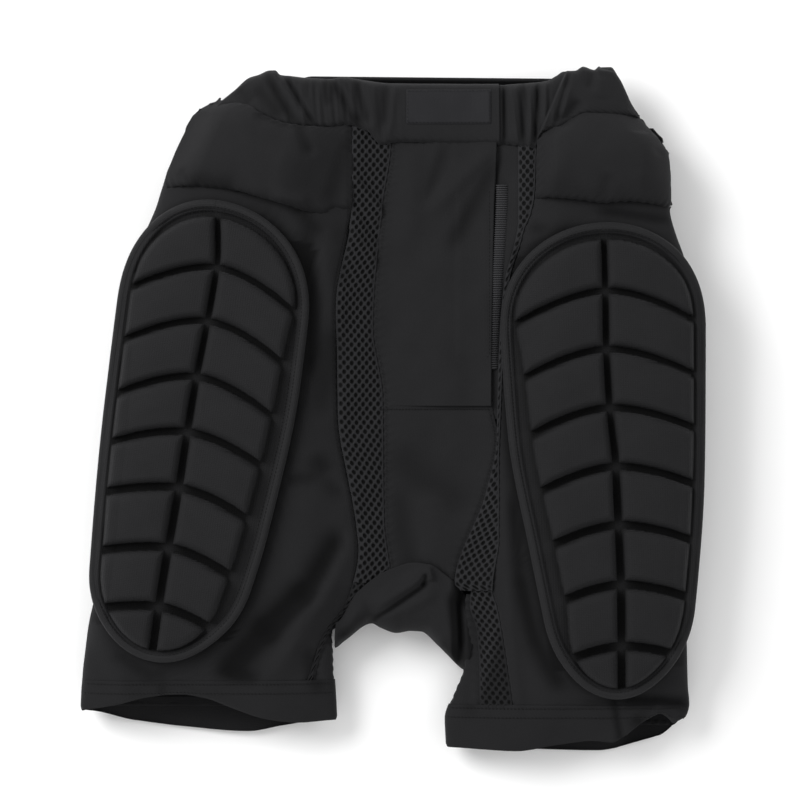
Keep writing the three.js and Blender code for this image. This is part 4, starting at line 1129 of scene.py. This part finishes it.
pleats = {
    "right": [(-88, 240, -68, 206, 3.2, -2.6), (-81, 241, -60, 206, 2.6, 2.4),
              (-76, 240, -56, 207, 2.4, -3.4), (-96, 232, -78, 212, 5, -1.8), (-66, 240, -60, 212, 4, 1.4),
              (-46, 240, -44, 220, 3, -1.8), (-40, 236, -22, 206, 4, -3.0), (-36, 239, -26, 214, 3, 2.2),
              (-25, 237, -16, 208, 3, -2.2), (-15, 235, -12, 202, 5, 1.8), (-4, 234, -5, 206, 4, -1.6),
              (3, 233, -2, 196, 3, 1.4), (-110, 232, -100, 222, 5, -1.2)],
    "left": [(81.5, 236, 82, 192, 1.6, -3.0), (88, 236, 90, 192, 3.5, 1.6), (96, 236, 95, 194, 2.6, -2.2),
             (101, 236, 100, 194, 2.0, 2.0), (106, 236, 104, 194, 1.8, -3.2), (112, 238, 110, 206, 2.2, 1.8),
             (129, 243, 118, 206, 2.0, -2.6), (127, 232, 124, 212, 3, 1.8), (136, 222, 121, 207, 4.5, -4.5),
             (147, 246, 144, 232, 3.5, -1.8), (152, 240, 150, 226, 6, 1.2)],
}
for side, x0, x1, lift, body, nodes in (
    ("left", 66, 180, 2.0, "seat_and_waist", ("waistband_left", "elastic_left")),
    ("right", -127, 78, 3.6, "flap", ("waistband_right", "waist_tab", "elastic_right")),
):
    x = np.linspace(x0, x1, 420)[None, :]
    v = np.linspace(0, 1, 60)[:, None]
    y = mix(band_top[side](x) + 1.6, band_low[side](x), v)
    x = np.broadcast_to(x, y.shape)
    soft = {"right": np.exp(-(((x + 40) / 30) ** 2)), "left": np.exp(-(((x - 96) / 17) ** 2))}[side]
    ridge = np.sin(x * 2 * np.pi / 7.3 + 1.6 * np.sin(x / 9.0) + 1.1 * np.sin(y / 11.0))
    ridge = ridge + 0.5 * np.sin(x * 2 * np.pi / 4.1 + y / 6)
    body_of_band = (1 - np.abs(2 * v - 1) ** 5)
    gather = 0.45 * soft * ridge * body_of_band**0.5 + creases(x, y, pleats[side])
    if side == "left":
        gather = gather + 4.5 * smooth((x - 107 - (y - 202) * 0.43) / 2.0) * smooth((y - 196) / 6)
    z = front_z(x, y) + lift + 2.6 * body_of_band + gather + 0.4 * ripples(x * 1.4, y * 1.4)
    z -= 5.0 * np.exp(-v / 0.05)
    band = np.stack([x, y, z], -1)
    facing = facing_up(band)
    # Painted shade in the valleys of the gathers and pleats.
    made = sewn("waistband_" + side + "_cloth", band, facing, 1.4, jersey, seams="b", depth=1.6, wide=2.2,
                dark=np.clip(-gather / 4.5, 0, 0.7))
    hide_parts(*nodes)
    place_on(made, body)
k = np.linspace(0, 0.985, 210)
v = np.linspace(0, 1, 40)[:, None]
x = np.concatenate([tube("right", -k, 228)[:, 0], tube("left", -k[::-1], 228)[:, 0]])
x = x + 3 * np.concatenate([np.exp(-k / 0.1), -np.exp(-k[::-1] / 0.1)])
top = mix(243.5, 241, (x + 112) / 278) - 21 * smooth((-66 - x) / 50) - 22 * smooth((x - 146) / 28)
y = mix(top, 202, v)
rear_band = np.concatenate([tube("right", -k, y[:, :210]), tube("left", -k[::-1], y[:, 210:])], 1)
rear_band[..., 0] += 3 * np.concatenate([np.exp(-k / 0.1), -np.exp(-k[::-1] / 0.1)])
rumple = np.sin(x * 2 * np.pi / 8.1 + np.sin(x / 13)) * (1 - np.abs(2 * v - 1) ** 4)
rear_band[..., 2] += 1.4 + 15 * np.exp(-v / 0.12) - rumple
made = sewn("waistband_rear_cloth", rear_band, -facing_up(rear_band), 2.0, jersey, seams="b")
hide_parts("waistband_rear", "elastic_rear")
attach(made, "seat_and_waist")

# ---- Blank labels and waist fastening ----
# A plain woven patch is stitched to the tab. Hook tape under the tab grips a loop patch on the band.
label_cloth = knit("satin_woven_label", "#1f1f21", 0.0009, 0.4, rough=0.5)


def tab_height(x, y):
    """Height of the tab's face."""
    v = (235 - y) / 42.5
    return front_z(x, y) + 3.6 + 2.6 * (1 - np.abs(2 * v - 1) ** 5) + 0.4 * ripples(x * 1.4, y * 1.4)


for name, x0, x1, y0, y1, lift, material, node, slot_name, body in (
    ("waist_badge_cloth", 11, 72, 232, 207, 0.75, label_cloth, "waist_badge", "label", "fly_flap"),
    ("waist_hook_tape", 42, 70, 231, 203, -2.0, hook_tape, "waist_hook_patch", "tape", "fly_flap"),
    ("waist_loop_tape", 42, 70, 231, 203, -3.6, hook_tape, "waist_loop_patch", "tape", "seat_and_waist"),
):
    x, y = np.meshgrid(np.linspace(x0, x1, 60), np.linspace(y0, y1, 30))
    face = np.stack([x, y, tab_height(x, y) + lift], -1)
    facing = facing_up(face)
    made = sewn(name, face, facing, 0.6, material, seams="lrtb", depth=0.3, wide=1.0, pucker=0.0)
    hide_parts(node)
    place_on(made, "flap" if name == "waist_badge_cloth" else body)
x, y = np.meshgrid(np.linspace(2, 40, 30), np.linspace(231, 209, 20))
face = np.stack([x, y, underside(y) - 0.9], -1)
made = sewn("size_label_cloth", face, -facing_up(face), 0.5, label_cloth, seams="")
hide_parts("size_label")
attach(made, "seat_and_waist")

# ---- Seat and tailbone cushions ----
# Three soft foam cushions sit outside the seat in jersey pockets. The shorts rest on them as they lie.
for name, x, y, wide, long in (("seat_pad_right", -50, 60, 38, 60), ("seat_pad_left", 104, 60, 38, 60),
                               ("tailbone_pad", 27, 84, 24, 70)):
    a, b = np.meshgrid(np.linspace(-1, 1, 60), np.linspace(1, -1, 80))
    sx = x + (wide - 1) * a * np.sqrt(1 - 0.42 * b * b)
    sy = y + (long - 1) * b * np.sqrt(1 - 0.42 * a * a)
    inner = np.clip((1 - np.abs(a) ** 3.5) * (1 - np.abs(b) ** 3.5), 0, 1)
    upper = np.stack([sx, sy, 11.0 + 1.5 * inner**0.5], -1)
    lower = np.stack([sx, sy, 9.0 - 8.4 * inner**0.4], -1)
    pad = swell(name + "_cover", upper, lower, jersey, 2.0)
    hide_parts(name)
    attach(pad, "seat_and_waist")

# ---- Seam stitches on the front ----
# Flatlock and lockstitch rows in black thread hold the panels together.
def stitch_line(name, xs, ys, lift, body, **more):
    """A row of stitches along a plan line on the front cloth."""
    xs, ys = np.asarray(xs, float), np.asarray(ys, float)
    walk = np.concatenate([[0], np.cumsum(np.hypot(np.diff(xs), np.diff(ys)))])
    even = np.linspace(0, walk[-1], max(int(walk[-1] / 2), 8))
    path, up = on_front(np.interp(even, walk, xs), np.interp(even, walk, ys), lift)
    return stitches(name, path, up, body, **more)


run = np.linspace(0, 1, 80)
y_line = mix(200, -122, run)
stitch_line("mesh_seam_right_out", seams_right(y_line) - 2.2, y_line, 0.4, "fold")
stitch_line("mesh_seam_right_in", panel_right(y_line) + 2.0, y_line, 1.3, "fold")
y_line = mix(-2, -122, run)
stitch_line("mesh_seam_left_in", panel_left(y_line) - 2.2, y_line, 1.1, "fold")
stitch_line("fly_foot_seam", mix(-8, 71, run), np.full(80, 1.2), 1.2, "seat_and_waist", pitch=2.2, long=1.5,
            thick=0.6)
for k, (x0, y0, x1, y1) in enumerate(((49, 159, 71, 159), (71, 159, 71, 39), (71, 39, 49, 39),
                                      (49, 39, 49, 159))):
    ends = np.linspace(0, 1, 40)
    xs, ys = mix(x0, x1, ends), mix(y0, y1, ends)
    lift = 0.9 + 2.4 * smooth((xs - panel_right(ys) - 8) / 45)
    path, up = on_front(xs, ys, 0)
    path[:, 2] += lift
    stitches(f"fly_strip_stitches_{k}", path, up, "flap")
for k, (x0, y0, x1, y1) in enumerate(((12, 231, 71, 231), (71, 231, 71, 208), (71, 208, 12, 208),
                                      (12, 208, 12, 231))):
    ends = np.linspace(0, 1, 40)
    xs, ys = mix(x0, x1, ends), mix(y0, y1, ends)
    path = np.stack([xs, ys, tab_height(xs, ys) + 0.75], -1)
    stitches(f"badge_stitches_{k}", path, np.tile([0.0, 0.0, 1.0], (40, 1)), "flap", long=1.7)
